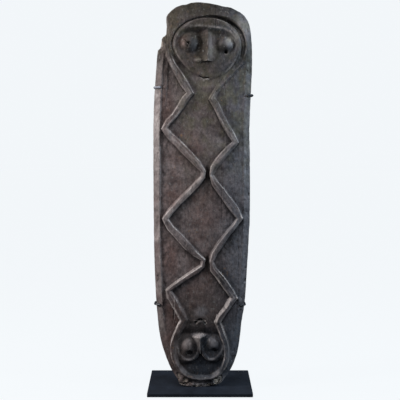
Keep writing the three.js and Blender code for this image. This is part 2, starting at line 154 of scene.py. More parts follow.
class Track:
    """A line on the carved front, with values that change along it."""

    def __init__(self, points: Points | Array, values: Array | None = None) -> None:
        """Keep the line.

        Args:
            points: Corners of the line as x and z.
            values: Values at each corner, one row each.
        """
        self.points = np.array(points, float)
        self.values = np.zeros((len(self.points), 1)) if values is None else values

    def nearest(self, x: Array, z: Array, sharp: float = 0.0) -> tuple[Array, Array, Array]:
        """Distance from each place to the line.

        Args:
            x: Places across.
            z: Places up.
            sharp: 0 keeps corners round on their outer side, 1 makes them pointed.

        Returns:
            The distance, the side that the place lies on and the values at the nearest point.
        """
        best = np.full(x.shape, np.inf)
        straight = np.zeros_like(x)
        side = np.zeros_like(x)
        values = np.zeros((*x.shape, self.values.shape[1]))
        for k in range(len(self.points) - 1):
            a, b = self.points[k], self.points[k + 1]
            length = math.hypot(*(b - a))
            heading = (b - a) / length
            dx, dz = x - a[0], z - a[1]
            along = dx * heading[0] + dz * heading[1]
            across = dx * heading[1] - dz * heading[0]
            t = np.clip(along / length, 0.0, 1.0)
            distance = np.hypot(across, along - t * length)
            level = np.abs(distance - best) < 1e-6
            closer = (distance < best) & ~level
            straight = np.where(level, np.maximum(straight, np.abs(across)), straight)
            straight = np.where(closer, np.abs(across), straight)
            best = np.where(closer, distance, best)
            side = np.where(closer, np.sign(across), side)
            here = self.values[k] + (self.values[k + 1] - self.values[k]) * t[..., None]
            values = np.where(closer[..., None], here, values)
        pointed = np.maximum(straight, 0.6 * best)
        return lerp(best, pointed, sharp), side, values

    def distance(self, x: Array, z: Array) -> Array:
        """Distance from each place to the line."""
        return self.nearest(x, z)[0]

    def encloses(self, x: Array, z: Array) -> Array:
        """Which places lie inside the line, closed from its end to its start."""
        inside = np.zeros(x.shape, bool)
        ends = np.roll(self.points, -1, axis=0)
        for (ax, az), (bx, bz) in zip(self.points, ends):
            if az == bz:
                continue
            crosses = (az > z) != (bz > z)
            inside ^= crosses & (x < ax + (z - az) * (bx - ax) / (bz - az))
        return inside


# The panel's edge

@dataclass(frozen=True)
class ClipSeat:
    """Small dent in the panel's edge that a clip sits in."""

    side: int
    z: float
    deep: float
    half: float = 5.5
    run: float = 2.0

    def depth(self, z: Array) -> Array:
        """Depth of the dent at each height."""
        return self.deep * (1.0 - ramp(np.abs(z - self.z) - self.half, 0.0, self.run))

    def room(self, x: Array, z: Array, inset: Array) -> Array:
        """1 where the clip's hook lies over the rim and 0 elsewhere."""
        near = 1.0 - ramp(np.abs(z - self.z), self.half, 2.0 * self.half)
        return near * (inset < 34.0) * (x * self.side > 0.0)


@dataclass
class PanelEdge:
    """Outline of the board, in millimetres, from the foot up on either side."""

    foot: float = 12.3
    crown: float = 1514.0
    left_foot: Points = ((-32, 12.3), (-48, 14.6), (-64, 16), (-82, 22))
    left_side: Points = (
        (-90, 41), (-115, 79), (-139, 139), (-160, 218), (-173, 347), (-181, 579),
        (-182, 950), (-179, 1117), (-173, 1208), (-167, 1296), (-162, 1331))
    left_break: Points = (
        (-154, 1338), (-150, 1347), (-148, 1372), (-143, 1381), (-136, 1385), (-130, 1392))
    left_crown: Points = (
        (-128, 1421), (-130, 1439), (-130, 1456), (-124, 1468), (-111, 1481), (-92, 1495),
        (-71, 1502.4), (-56, 1503.6), (-38, 1510.4), (-11, 1514))
    right_foot: Points = ((24, 12.3), (36, 16), (49, 20), (60, 20.8), (78, 23))
    right_side: Points = (
        (92, 36), (122, 77), (141, 121), (154, 173), (167, 278), (178, 355), (188, 515),
        (193, 630), (196, 685), (195, 912), (193, 1009), (194, 1094), (197, 1166), (201, 1270),
        (199, 1364), (192, 1418), (184, 1443))
    right_crown: Points = (
        (171, 1462), (155, 1475), (134, 1486), (120, 1494), (92, 1498), (73, 1503), (38, 1510),
        (0, 1514))
    seats: tuple[ClipSeat, ...] = (
        ClipSeat(-1, 1191, 5.4), ClipSeat(1, 1161, 1), ClipSeat(-1, 344, 2), ClipSeat(1, 341, 5.4))
    wobble: float = 0.8
    broken: float = 2.2
    rounding: float = 1.5

    def __post_init__(self) -> None:
        """Join the stretches of each side."""
        left = [*self.left_foot, *curve_through(self.left_side), *self.left_break,
                *self.left_crown]
        right = [*self.right_foot, *curve_through(self.right_side), *self.right_crown]
        self.left, self.right = np.array(left), np.array(right)
        self.noise = Noise(5)
        self.outline = Track([*left, *right[::-1], left[0]])

    def sides(self, z: Array) -> tuple[Array, Array]:
        """Left and right edge at each height, a little inside the outline.

        Args:
            z: Heights.

        Returns:
            The x of the left edge and of the right edge.
        """
        edges = []
        rough = self.broken * (ease(70.0 - z, 0.0, 40.0) + 0.5 * ease(z - 1440.0, 0.0, 40.0))
        for sign, line, shift in ((-1, self.left, 0.0), (1, self.right, 700.0)):
            x = np.interp(z, line[:, 1], line[:, 0])
            slope = np.gradient(x, z)
            inward = self.rounding * np.minimum(np.hypot(1.0, slope), 4.0)
            uneven = self.noise.layered(np.full_like(z, shift), z, 50.0, 34.0)
            inward = inward + np.maximum(uneven, -0.2) * self.wobble
            chips = self.noise.layered(np.full_like(z, shift + 200.0), z, 50.0, 9.0)
            inward = inward + np.maximum(chips, 0.0) * rough
            for seat in self.seats:
                if seat.side == sign:
                    inward = inward + seat.depth(z)
            edges.append(x - sign * inward)
        middle = (edges[0] + edges[1]) / 2.0
        return np.minimum(edges[0], middle - 3.0), np.maximum(edges[1], middle + 3.0)

    def inset(self, x: Array, z: Array) -> Array:
        """Distance of each place from the outline."""
        return self.outline.distance(x, z)


# The carved band

@dataclass(frozen=True)
class Corner:
    """Corner of the band, with what belongs to the leg that follows it.

    Attributes:
        x: Place across.
        z: Place up.
        half: Half the band's width at its foot.
        shifts: How far the leg stands towards +x at its stations.
        halves: Half its width at its stations.
        outer: Run of the wall on the loop's outer side.
        inner: Run of the wall on its inner side.
    """

    x: float
    z: float
    half: float
    shifts: tuple[float, ...] = ()
    halves: tuple[float, ...] = ()
    outer: float = 4.0
    inner: float = 4.0


@dataclass
class LoopBand:
    """Raised band that zigzags down both sides and closes in a loop at the foot."""

    top: float = 15.0
    loop_top: float = 12.0
    faint_top: float = 4.0
    fade_legs: float = 0.3
    stations: tuple[float, ...] = (0.175, 0.375, 0.625, 0.825)
    point: float = 0.75
    streak_depth: float = 0.45
    left: tuple[Corner, ...] = (
        Corner(-126, 1344, 10, (-9, -11, -7, -4), (12, 13, 16, 17)),
        Corner(-36, 1169, 13, (-3, 0, 1, -3), (15, 14, 13, 13)),
        Corner(-138, 1033, 13, (-2, 1, 3, 3), (16, 17, 17, 16)),
        Corner(13, 868, 11, (0, 0, 0, 0), (11, 11, 11, 11), outer=8),
        Corner(11, 846, 11, (0, -1, -5, -5), (13, 14, 14, 14), outer=8),
        Corner(-136, 683, 13, (-8, -7, -8, -6), (16, 17, 17, 14)),
        Corner(13, 521, 11, (0, 0, 0, 0), (11, 11, 11, 11), outer=8),
        Corner(10, 498, 11, (1, -1, -3, -3), (13, 12, 11, 11), outer=8),
        Corner(-124, 400, 12, (-2, 0, 0, -1), (17, 18, 18, 18), outer=6, inner=9))
    loop: tuple[Corner, ...] = (
        Corner(-62, 284, 15, inner=9), Corner(-87, 230, 16, inner=14),
        Corner(-103, 178, 17, inner=22), Corner(-99, 134, 17, inner=24),
        Corner(-83, 93, 14, inner=19), Corner(-50, 58, 11, inner=14),
        Corner(-3, 47, 11, inner=15), Corner(50, 52, 11, inner=14), Corner(85, 78, 11, inner=7),
        Corner(103, 122, 11), Corner(104, 172, 11), Corner(89, 220, 11.5))
    right: tuple[Corner, ...] = (
        Corner(68, 274, 13, (-2, -2, -2, -4), (15, 15, 15, 15), inner=13),
        Corner(136, 371, 13, (0, -1, -3, -8), (16, 16, 16, 15)),
        Corner(43, 513, 11, (-9, -9, -7, -2), (14, 15, 13, 12), inner=8),
        Corner(156, 686, 12, (1, 0, -3, -6), (18, 18, 17, 15)),
        Corner(44, 854, 10, (-9, -9, -6, -3), (15, 17, 17, 16), outer=16),
        Corner(138, 981, 12, (-1, -3, -1, 2), (15, 14, 14, 15)),
        Corner(46, 1147, 13, (-7, -11, -11, -7), (12, 12, 12, 12)),
        Corner(166, 1290, 11))

    def __post_init__(self) -> None:
        """Lay out the whole line of the band."""
        loop = self.loop_rows()
        fade = len(self.right) - 2
        rows = [
            *self.legs([*self.left, self.loop[0]], lambda leg: self.top), *loop,
            *self.legs(list(self.right), lambda leg: lerp(
                self.top, self.faint_top, min(max((leg - fade) / self.fade_legs, 0.0), 1.0)))]
        end = self.right[-1]
        rows.append((end.x, end.z, end.half, end.outer, end.inner, self.faint_top))
        table = np.array(rows)
        self.line = Track(table[:, :2], table[:, 2:])
        ring = [(self.loop[0].x, self.loop[0].z), *((r[0], r[1]) for r in loop),
                (self.right[0].x, self.right[0].z)]
        self.ring = Track(ring)

    def loop_rows(self) -> list[tuple[float, ...]]:
        """Points round the loop at the foot."""
        corners = [*self.loop, self.right[0]]
        smooth = curve_through([(c.x, c.z) for c in corners], 4)[:-1]
        places = np.arange(len(smooth)) / 4.0
        halves = np.interp(places, range(len(corners)), [c.half for c in corners])
        runs = np.interp(places, range(len(corners)), [c.inner for c in corners])
        return [(x, z, half, corners[0].outer, run, self.loop_top)
                for (x, z), half, run in zip(smooth, halves, runs)]

    def legs(self, corners: list[Corner], top_of: Callable[[float], float]) -> list[tuple]:
        """Points along the legs.

        Args:
            corners: Corners of the legs, with the last one only as their end.
            top_of: Height of the band for a place along the legs.

        Returns:
            Points as x, z, half width, outer run, inner run and height.
        """
        out = []
        for i, (a, b) in enumerate(zip(corners, corners[1:])):
            length = math.hypot(b.x - a.x, b.z - a.z)
            way = math.copysign(1.0 / length, b.z - a.z)
            out.append((a.x, a.z, a.half, a.outer, a.inner, top_of(i)))
            for t, shift, half in zip(self.stations, a.shifts, a.halves):
                x = lerp(a.x, b.x, t) + way * (b.z - a.z) * shift
                z = lerp(a.z, b.z, t) - way * (b.x - a.x) * shift
                out.append((x, z, half, a.outer, a.inner, top_of(i + t)))
        return out

    def raise_on(self, x: Array, z: Array, ground: Array, noise: Noise) -> Array:
        """The ground with the band on it.

        Args:
            x: Places across.
            z: Places up.
            ground: Heights below the band.
            noise: Noise that wears its edges.

        Returns:
            The heights with the band.
        """
        distance, side, values = self.line.nearest(x, z, self.point)
        half, outer, inner, top = (values[..., k] for k in range(4))
        half = half + 0.7 * noise.layered(x, z, 34.0, 34.0, 2)
        uneven = 1.0 + 0.25 * noise.at(x, z, 40.0, 40.0)
        outwards = distance * side
        rise = np.minimum((half - outwards) / outer, (half + outwards) / inner) / uneven
        wall = lerp(ramp(rise, 0.0, 1.0), ease(rise, 0.0, 1.0), 0.6)
        crowned = 1.0 - 0.10 * ramp(distance / half, 0.3, 1.0)
        lift = np.maximum((top * crowned - ground) * wall, 0.0)
        inner_part = ease(half - distance, 0.0, 3.0)
        return ground + lift + self.streak_depth * self.streaks(x, z, noise) * inner_part

    def on(self, x: Array, z: Array) -> Array:
        """1 on top of the band and 0 beside it, less where the band is faint."""
        distance, _, values = self.line.nearest(x, z, self.point)
        return ease(values[..., 0] - distance, 0.0, 3.0) * ramp(values[..., 3], 5.0, 12.0)

    def streaks(self, x: Array, z: Array, noise: Noise) -> Array:
        """Long strokes of the blade along the band, from about -1 to 1."""
        distance, side, _ = self.line.nearest(x, z, self.point)
        return noise.layered(distance * side + 400.0, z, 5.0, 60.0, 2)


# The upper face

@dataclass(frozen=True)
class Oval:
    """Oval spot on the front, such as a socket, an eye or a hole.

    Attributes:
        x: Middle across.
        z: Middle up.
        rx: Half its width.
        rz: Half its height.
        size: Its depth or height.
    """

    x: float
    z: float
    rx: float
    rz: float
    size: float

    def reach(self, x: Array, z: Array) -> Array:
        """0 in its middle and 1 on its rim."""
        return np.hypot((x - self.x) / self.rx, (z - self.z) / self.rz)

    def cap(self, x: Array, z: Array) -> Array:
        """Height of a rounded dome on it."""
        return self.size * np.sqrt(np.clip(1.0 - self.reach(x, z) ** 2, 0.0, 1.0))


@dataclass(frozen=True)
class Wedge:
    """Nose with a sharp ridge that widens and rises from its top to its tip.

    Attributes:
        ridge: Place of the ridge across.
        top: Height up the panel, left and right edge, and relief at its top.
        tip: The same at its tip.
        foot: Relief where its two faces end.
        spread: How late its left and right edges widen.
        under: Run of its cut-off underside.
        tilt: How much the underside's edge climbs towards +x.
    """

    ridge: float
    top: tuple[float, float, float, float]
    tip: tuple[float, float, float, float]
    foot: float
    spread: tuple[float, float]
    under: float
    tilt: float = 0.0

    def height(self, x: Array, z: Array) -> Array:
        """Relief of the nose, far below the board where it has ended."""
        top_z, top_left, top_right, top_height = self.top
        tip_z, tip_left, tip_right, tip_height = self.tip
        way = math.copysign(1.0, top_z - tip_z)
        edge_z = tip_z + self.tilt * (x - self.ridge)
        share = np.clip((top_z - z) / (top_z - edge_z), 0.0, 1.0)
        left = lerp(top_left, tip_left, share ** self.spread[0])
        right = lerp(top_right, tip_right, share ** self.spread[1])
        crest = lerp(top_height, tip_height, share**0.9)
        off = np.where(x < self.ridge, (self.ridge - x) / (self.ridge - left),
                       (x - self.ridge) / (right - self.ridge))
        body = np.maximum(lerp(crest, self.foot, off), -12.0)
        beyond = way * (edge_z - z)
        start = ramp(way * (top_z - z), -6.0, 4.0)
        return lerp(-12.0, body, np.minimum(1.0 - ramp(beyond, 0.0, self.under), start))


@dataclass
class UpperFace:
    """Wide-eyed face in an egg outline, with a groove round its top."""

    x: float = 25.0
    z: float = 1345.0
    half_width: float = 128.0
    up: float = 104.0
    down: float = 129.0
    powers: tuple[float, float, float] = (2.1, 1.85, 1.46)
    rim_top: float = 15.0
    cheek_top: float = 9.0
    shoulders: tuple[float, float] = (6.0, 28.0)
    groove_floors: tuple[float, float] = (9.5, -5.0)
    groove_left: tuple[float, float] = (4.0, 4.0)
    groove_right: tuple[float, float] = (13.0, 11.5)
    groove_ends: tuple[float, float] = (206.0, -48.0)
    groove_fades: tuple[float, float] = (0.14, 0.3)
    brow: Points = (
        (-104, 1370), (-90, 1402), (-80, 1413), (-61, 1419), (-38, 1421), (0, 1422), (30, 1420),
        (65, 1416), (91, 1412), (114, 1401), (131, 1384), (143, 1362), (152, 1330))
    hollow: float = 16.0
    eyes: tuple[Oval, ...] = (Oval(-42, 1358, 43, 43, 25), Oval(98, 1350, 36, 36, 21))
    eye_base: float = -3.0
    pupils: tuple[Oval, ...] = (Oval(99, 1324, 10, 9, 9), Oval(-43, 1357, 6, 6, 5))
    scar: Points = ((-57, 1370), (-50, 1360), (-44, 1353), (-48, 1342))
    nose: Wedge = Wedge(30, (1434, 10, 50, 8), (1289, -15, 60, 27), -2, (0.9, 1.1), 5)
    wings: tuple[Oval, ...] = (Oval(-3, 1293, 21, 13, 12), Oval(46, 1296, 14, 11, 7))
    mouth: Points = ((-3, 1234), (7, 1229), (15, 1225), (23, 1227), (33, 1226))
    lip: Points = ((4, 1225), (15, 1219), (33, 1221))
    crease: Points = ((152, 1272), (128, 1244), (100, 1216), (76, 1193), (64, 1180))

    def radius(self, angle: Array) -> Array:
        """Radius of the egg outline in each direction."""
        low = np.sin(angle) < 0.0
        low_power = np.where(np.cos(angle) < 0.0, self.powers[2], self.powers[1])
        power = np.where(low, low_power, self.powers[0])
        across = (np.abs(np.cos(angle)) / self.half_width) ** power
        upright = (np.abs(np.sin(angle)) / np.where(low, self.down, self.up)) ** power
        return (across + upright) ** (-1.0 / power)

    def inside(self, x: Array, z: Array) -> Array:
        """How far inside the outline each place lies, below 0 outside."""
        angle = np.arctan2(z - self.z, x - self.x)
        return self.radius(angle) - np.hypot(x - self.x, z - self.z)

    def groove(self) -> Track:
        """The line of the groove, with its half width, floor and strength."""
        share = np.linspace(0.0, 1.0, 60)
        angle = np.radians(lerp(self.groove_ends[0], self.groove_ends[1], share))
        right = ease(share, 0.36, 0.72)
        reach = self.radius(angle) + lerp(self.groove_left[0], self.groove_right[0], right)
        half = lerp(self.groove_left[1], self.groove_right[1], right)
        left_fade, right_fade = self.groove_fades
        strength = ramp(share, 0.0, left_fade) * ramp(1.0 - share, 0.0, right_fade)
        floor = lerp(self.groove_floors[0], self.groove_floors[1], right)
        places = np.stack([self.x + reach * np.cos(angle), self.z + reach * np.sin(angle)], 1)
        return Track(places, np.stack([half, floor, strength], 1))

    def cut_groove(self, x: Array, z: Array, ground: Array) -> Array:
        """The ground with the groove cut into it."""
        distance, _, values = self.groove().nearest(x, z)
        depth = values[..., 2] * (1.0 - ease(distance / values[..., 0], 0.3, 1.1))
        return np.minimum(ground, lerp(ground, values[..., 1], depth))

    def eye_hollows(self, x: Array, z: Array, inside: Array) -> Array:
        """How deep the hollow below the brow is, from 0 to 1."""
        line = np.interp(x, [p[0] for p in self.brow], [p[1] for p in self.brow])
        below = line - z
        sides = ease(inside, 8.0, lerp(24.0, 34.0, ease(below, 20.0, 80.0)))
        ledge = ease(below, -2.0, 26.0)
        cheek = 1.0 - ease(below, 62.0, 150.0)
        outer = ease(np.abs(x - self.nose.ridge), 30.0, 110.0)
        depth = lerp(1.0, 0.35, outer)
        depth = np.where(x < self.nose.ridge, depth, 0.62)
        return ledge * cheek * sides * depth

    def carve(self, x: Array, z: Array, ground: Array, noise: Noise) -> Array:
        """The ground with the face carved on it.

        Args:
            x: Places across.
            z: Places up.
            ground: Height of the board before carving.
            noise: Noise that wears the face.

        Returns:
            Height of the carved surface.
        """
        ground = self.cut_groove(x, z, ground)
        off, side, _ = Track(self.crease).nearest(x, z)
        ground = ground + 1.5 * ease(4.0 - off, 0.0, 3.0)
        ground = ground - 1.3 * ease(4.0 - np.abs(off - 7.0), 0.0, 3.5) * (side < 0.0)
        inside = self.inside(x, z) + 0.6 * noise.layered(x, z, 40.0, 40.0, 2)
        low = ease(self.z - z, 10.0, 110.0)
        rim = lerp(self.rim_top, self.cheek_top, low)
        shoulder = lerp(self.shoulders[0], self.shoulders[1], low)
        edge = np.sqrt(1.0 - (1.0 - ramp(inside / shoulder, 0.0, 1.0)) ** 2)
        shield = rim * edge + 2.5 * ease(inside, 20.0, 90.0) * low
        shield = shield - self.hollow * self.eye_hollows(x, z, inside)
        for eye in self.eyes:
            ball = self.eye_base + eye.size * (1.0 - np.minimum(eye.reach(x, z), 1.6) ** 2.4)
            shield = soft_max(shield, ball, 7.0)
        for pupil in self.pupils:
            shield = shield - pupil.size * ease(1.0 - pupil.reach(x, z), 0.0, 0.6)
        shield = shield - 3.5 * ease(2.4 - Track(self.scar).distance(x, z), 0.0, 2.2)
        nose = self.nose.height(x, z)
        for wing in self.wings:
            lobe = np.where(wing.reach(x, z) < 1.0, 6.0 + wing.cap(x, z), -12.0)
            nose = soft_max(nose, lobe, 8.0)
        shield = soft_max(shield, nose, 4.0)
        shield = shield + 1.6 * ease(4.0 - Track(self.lip).distance(x, z), 0.0, 4.0)
        shield = shield - 4.0 * ease(4.0 - Track(self.mouth).distance(x, z), 0.0, 3.6)
        near_edge = np.where(inside < 5.0, np.maximum(shield, ground), shield)
        return np.where(inside > 0.0, near_edge, ground)


# The lower face

@dataclass
class LowerFace:
    """Smaller face, upside down in the loop at the foot."""

    floor: float = -7.0
    ledge: Points = ((-67, 262), (0, 263), (66, 254))
    ledge_run: float = 46.0
    slit: Points = ((-17, 271), (-10, 278), (-3, 282), (6, 283), (14, 278), (21, 271))
    swell: Oval = Oval(0, 306, 44, 54, 11)
    beds: tuple[Oval, ...] = (Oval(-54, 168, 68, 74, 9), Oval(56, 172, 64, 70, 9))
    bed_top: tuple[float, float] = (186.0, 240.0)
    eyes: tuple[Oval, ...] = (Oval(-47, 172, 29, 35, 10), Oval(52, 182, 27, 29, 11))
    pupils: tuple[Oval, ...] = (Oval(-42, 150, 14, 12, 5.5), Oval(55, 162, 12, 10, 5.5))
    arcs: tuple[Points, ...] = (
        ((-88, 175), (-84, 147), (-67, 127), (-44, 119), (-20, 130), (-6, 156), (-2, 180)),
        ((4, 200), (6, 176), (14, 146), (30, 127), (47, 121), (67, 130), (84, 150), (92, 172),
         (90, 196)))
    arc_ends: tuple[float, ...] = (168.0, 176.0)
    arc_fade: float = 34.0
    arc_half: float = 9.5
    arc_size: float = 12.5
    nose: Wedge = Wedge(0, (142, -12, 9, 3), (214, -37, 31, 23), -7, (2.0, 1.7), 15, 0.04)

    def arc_heights(self, x: Array, z: Array) -> Array:
        """The brow ridges, which curl round below both eyes."""
        total = np.full(x.shape, -20.0)
        for arc, end in zip(self.arcs, self.arc_ends):
            off = Track(curve_through(arc, 4)).distance(x, z)
            ridge = self.arc_size * np.sqrt(np.clip(1.0 - (off / self.arc_half) ** 2, 0.0, 1.0))
            ridge = np.where(off < self.arc_half, self.floor + ridge, -20.0)
            total = np.maximum(total, lerp(ridge, -20.0, ramp(z, end, end + self.arc_fade)))
        return total

    def carve(self, x: Array, z: Array, ground: Array, in_loop: Array) -> Array:
        """The ground with the recess and the face in it.

        Args:
            x: Places across.
            z: Places up.
            ground: Height of the board before carving.
            in_loop: 1 inside the loop and 0 outside it.

        Returns:
            Height of the carved surface.
        """
        swell = self.swell.size * ease(1.0 - self.swell.reach(x, z), 0.0, 1.0)
        surface = ground + swell * in_loop
        line = np.interp(x, [p[0] for p in self.ledge], [p[1] for p in self.ledge])
        below = ease((line - z) / self.ledge_run, 0.0, 1.0) * in_loop
        surface = lerp(surface, self.floor + 2.0 * ease(150.0 - z, 0.0, 60.0), below)
        surface = surface - 4.6 * ease(8.0 - Track(self.slit).distance(x, z), 0.0, 8.0)
        for bed, eye in zip(self.beds, self.eyes):
            raised = bed.size * ease(1.0 - bed.reach(x, z), 0.0, 0.36)
            raised = self.floor + raised * (1.0 - ease(z, *self.bed_top))
            surface = np.where(in_loop > 0.0, soft_max(surface, raised, 2.0), surface)
            ball = self.floor + bed.size
            ball = ball + eye.size * (1.0 - np.minimum(eye.reach(x, z), 1.6) ** 2.4) - 1.0
            surface = soft_max(surface, ball, 3.0)
        inner = soft_max(self.arc_heights(x, z), self.nose.height(x, z), 3.0)
        surface = np.where(in_loop > 0.0, soft_max(surface, inner, 2.5), surface)
        for pupil in self.pupils:
            surface = surface - pupil.size * ease(1.0 - pupil.reach(x, z), 0.0, 0.5)
        return surface


# The wood's own surface

@dataclass
class Weathering:
    """Tool marks, grain, drying cracks and broken edges of the old board."""

    seed: int = 21
    tool: float = 0.7
    grain: float = 0.22
    pits: float = 0.4
    seat_room: float = 1.4
    cracks: tuple[tuple[float, float, float, float], ...] = (
        (58, 1440, 70, 2.4), (-84, 1240, 60, 1.6), (96, 1130, 130, 1.6), (-12, 930, 110, 1.0),
        (84, 760, 160, 1.4), (-58, 610, 120, 1.2), (30, 450, 90, 1.0), (-104, 330, 90, 1.4),
        (150, 560, 140, 1.6), (-20, 40, 50, 2.6), (40, 40, 40, 2.4))
    scratch: Points = ((-175, 718), (-156, 671))
    chips: tuple[Oval, ...] = (
        Oval(-59, 39, 13, 11, 1.0), Oval(-54, 26, 16, 7, 1.0), Oval(-79, 25, 15, 5, 0.9),
        Oval(-11, 16, 22, 5, 1.0), Oval(-84, 56, 9, 18, 0.7), Oval(-37, 34, 11, 9, 0.8),
        Oval(66, 38, 18, 15, 0.9), Oval(60, 22, 12, 6, 1.0), Oval(36, 21, 9, 6, 1.0),
        Oval(80, 46, 9, 16, 0.7), Oval(-148, 1352, 12, 18, 0.5))
    chip_depth: float = 4.0
    clefts: tuple[Oval, ...] = (Oval(29, 853, 9, 34, 4.5), Oval(31, 510, 9, 30, 4.0))

    def __post_init__(self) -> None:
        """Make the noise."""
        self.noise = Noise(self.seed)

    def wear(self, x: Array, z: Array, inset: Array) -> Array:
        """Small heights added all over the front.

        Args:
            x: Places across.
            z: Places up.
            inset: Distance from the outline.

        Returns:
            The heights.
        """
        noise = self.noise
        total = self.tool * noise.layered(x, z, 46.0, 70.0, 3)
        total += self.grain * noise.layered(x, z, 5.5, 70.0, 2)
        coarse = 1.0 + 1.5 * ease(np.abs(x - 5.0), 50.0, 110.0) * ease(z, 300.0, 420.0)
        total += self.pits * coarse * noise.layered(x + 300.0, z, 13.0, 16.0, 3)
        for cx, cz, tall, deep in self.cracks:
            path = cx + 3.0 * noise.at(np.full_like(z, cx), z, 10.0, 26.0)
            taper = np.clip(1.0 - np.abs(z - cz) / tall, 0.0, 1.0)
            total -= deep * taper**0.6 * ease(1.6 - np.abs(x - path), 0.0, 1.3)
        total -= 1.2 * ease(1.8 - Track(self.scratch).distance(x, z), 0.0, 1.5)
        rough = ease(62.0 - z, 0.0, 40.0) + 0.6 * ease(z - 1452.0, 0.0, 40.0)
        total += rough * (2.6 * noise.layered(x + 150.0, z, 24.0, 26.0, 3) - 0.8)
        for chip in self.chips:
            ragged = 1.0 - chip.reach(x, z) + 0.35 * noise.layered(x, z + 90.0, 9.0, 9.0, 2)
            total -= self.chip_depth * chip.size * ease(ragged, 0.0, 0.3)
        for cleft in self.clefts:
            total -= cleft.size * ease(1.0 - cleft.reach(x, z), 0.0, 0.7)
        nicks = np.maximum(noise.layered(x - 220.0, z, 18.0, 24.0, 3) - 0.75, 0.0)
        total -= 9.0 * nicks * ease(34.0 - inset, 0.0, 26.0)
        return total


@dataclass
class Relief:
    """The carved front as one surface of heights over the field."""

    edge: PanelEdge = field(default_factory=PanelEdge)
    band: LoopBand = field(default_factory=LoopBand)
    upper: UpperFace = field(default_factory=UpperFace)
    lower: LowerFace = field(default_factory=LowerFace)
    weather: Weathering = field(default_factory=Weathering)
    crowning: float = 4.0
    rim_run: float = 25.0
    rim_step: float = 6.0
    rim_edge: float = -9.0
    foot_edge: float = 4.0
    left_crest: float = 6.0
    right_crest: float = 1.5
    hood_crest: float = 15.0
    hood_round: Points = ((-90, 1), (0, 1), (40, -1), (90, -2), (130, 3), (180, 8), (270, 8))
    hood_runs: Points = ((-90, 26), (0, 26), (40, 40), (90, 56), (130, 56), (180, 40), (270, 40))

    def board(self, x: Array, z: Array, inset: Array) -> Array:
        """The board with its rims and the raised hood, before the carving.

        Args:
            x: Places across.
            z: Places up.
            inset: Distance from the outline.

        Returns:
            The heights.
        """
        noise = self.weather.noise
        bounds = [np.interp(z, line[:, 1], line[:, 0]) for line in (self.edge.left, self.edge.right)]
        half = np.maximum((bounds[1] - bounds[0]) / 2.0, 1.0)
        off = (x - (bounds[0] + bounds[1]) / 2.0) / half
        crowned = self.crowning * (1.0 - off**2)
        is_left = ease(-x, -10.0, 10.0)
        crest = lerp(self.right_crest, self.left_crest, is_left) * ease(z, 225.0, 335.0)
        wavy = inset + 1.2 * noise.layered(x * 0.0, z, 30.0, 60.0, 2)
        rim_edge = lerp(self.rim_edge, self.foot_edge, ease(70.0 - z, 0.0, 40.0))
        slope = lerp(rim_edge, crest, ramp(wavy, 0.0, self.rim_run))
        inner = self.rim_run + self.rim_step
        rim = np.where(wavy < self.rim_run, slope, crest * (1.0 - ease(wavy, self.rim_run, inner)))
        shelf = 2.5 * is_left * ease(z, 1070.0, 1180.0) * ease(50.0 - inset, 0.0, 5.0)
        plain = rim + crowned + shelf * ease(wavy, self.rim_run, inner)

        turn = np.degrees(np.arctan2(z - self.upper.z, x - self.upper.x))
        turn = np.where(turn < -90.0, turn + 360.0, turn)
        hood_edge = np.interp(turn, [p[0] for p in self.hood_round], [p[1] for p in self.hood_round])
        hood_run = np.interp(turn, [p[0] for p in self.hood_runs], [p[1] for p in self.hood_runs])
        hood = lerp(hood_edge, self.hood_crest, ease(inset / hood_run, 0.0, 1.0) ** 0.8)
        hood = hood - 6.0 * (1.0 - np.sqrt(ramp(inset, 0.0, 9.0)))
        return lerp(plain, hood, ease(z, 1265.0, 1345.0))

    def heights(self, x: Array, z: Array) -> Array:
        """Height of the carved front over its field.

        Args:
            x: Places across, in millimetres.
            z: Places up, in millimetres.

        Returns:
            The heights in millimetres.
        """
        noise = self.weather.noise
        inset = self.edge.inset(x, z)
        surface = self.board(x, z, inset)
        in_loop = self.band.ring.encloses(x, z).astype(float)
        surface = self.lower.carve(x, z, surface, in_loop)
        surface = self.band.raise_on(x, z, surface, noise)
        surface = self.upper.carve(x, z, surface, noise)
        surface = surface + self.weather.wear(x, z, inset)
        for seat in self.edge.seats:
            surface = surface - self.weather.seat_room * seat.room(x, z, inset)
        return surface


# Mesh tools

def only(*objects: bpy.types.Object) -> None:
    """Select these objects alone and make the first one active."""
    bpy.ops.object.select_all(action="DESELECT")
    for obj in objects:
        obj.select_set(True)
    bpy.context.view_layer.objects.active = objects[0]


def read_places(obj: bpy.types.Object) -> Array:
    """Places of an object's points, one row each."""
    places = np.empty(len(obj.data.vertices) * 3)
    obj.data.vertices.foreach_get("co", places)
    return places.reshape(-1, 3)


def write_places(obj: bpy.types.Object, places: Array) -> None:
    """Move an object's points."""
    obj.data.vertices.foreach_set("co", places.ravel())
    obj.data.update()


def read_normals(obj: bpy.types.Object) -> Array:
    """Directions in which an object's points face, one row each."""
    normals = np.empty(len(obj.data.vertices) * 3)
    obj.data.vertices.foreach_get("normal", normals)
    return normals.reshape(-1, 3)


def write_values(obj: bpy.types.Object, name: str, values: Array) -> None:
    """Keep one value for each point, which the materials read by name."""
    layer = obj.data.attributes.new(name, "FLOAT", "POINT")
    layer.data.foreach_set("value", values.astype(np.float32))


def apply_modifier(obj: bpy.types.Object, kind: str, **settings: object) -> None:
    """Add a modifier, set it and apply it.

    Args:
        obj: The object.
        kind: Type of the modifier.
        settings: Its settings.
    """
    only(obj)
    modifier = obj.modifiers.new(kind.title(), kind)
    for name, value in settings.items():
        setattr(modifier, name, value)
    bpy.ops.object.modifier_apply(modifier=modifier.name)


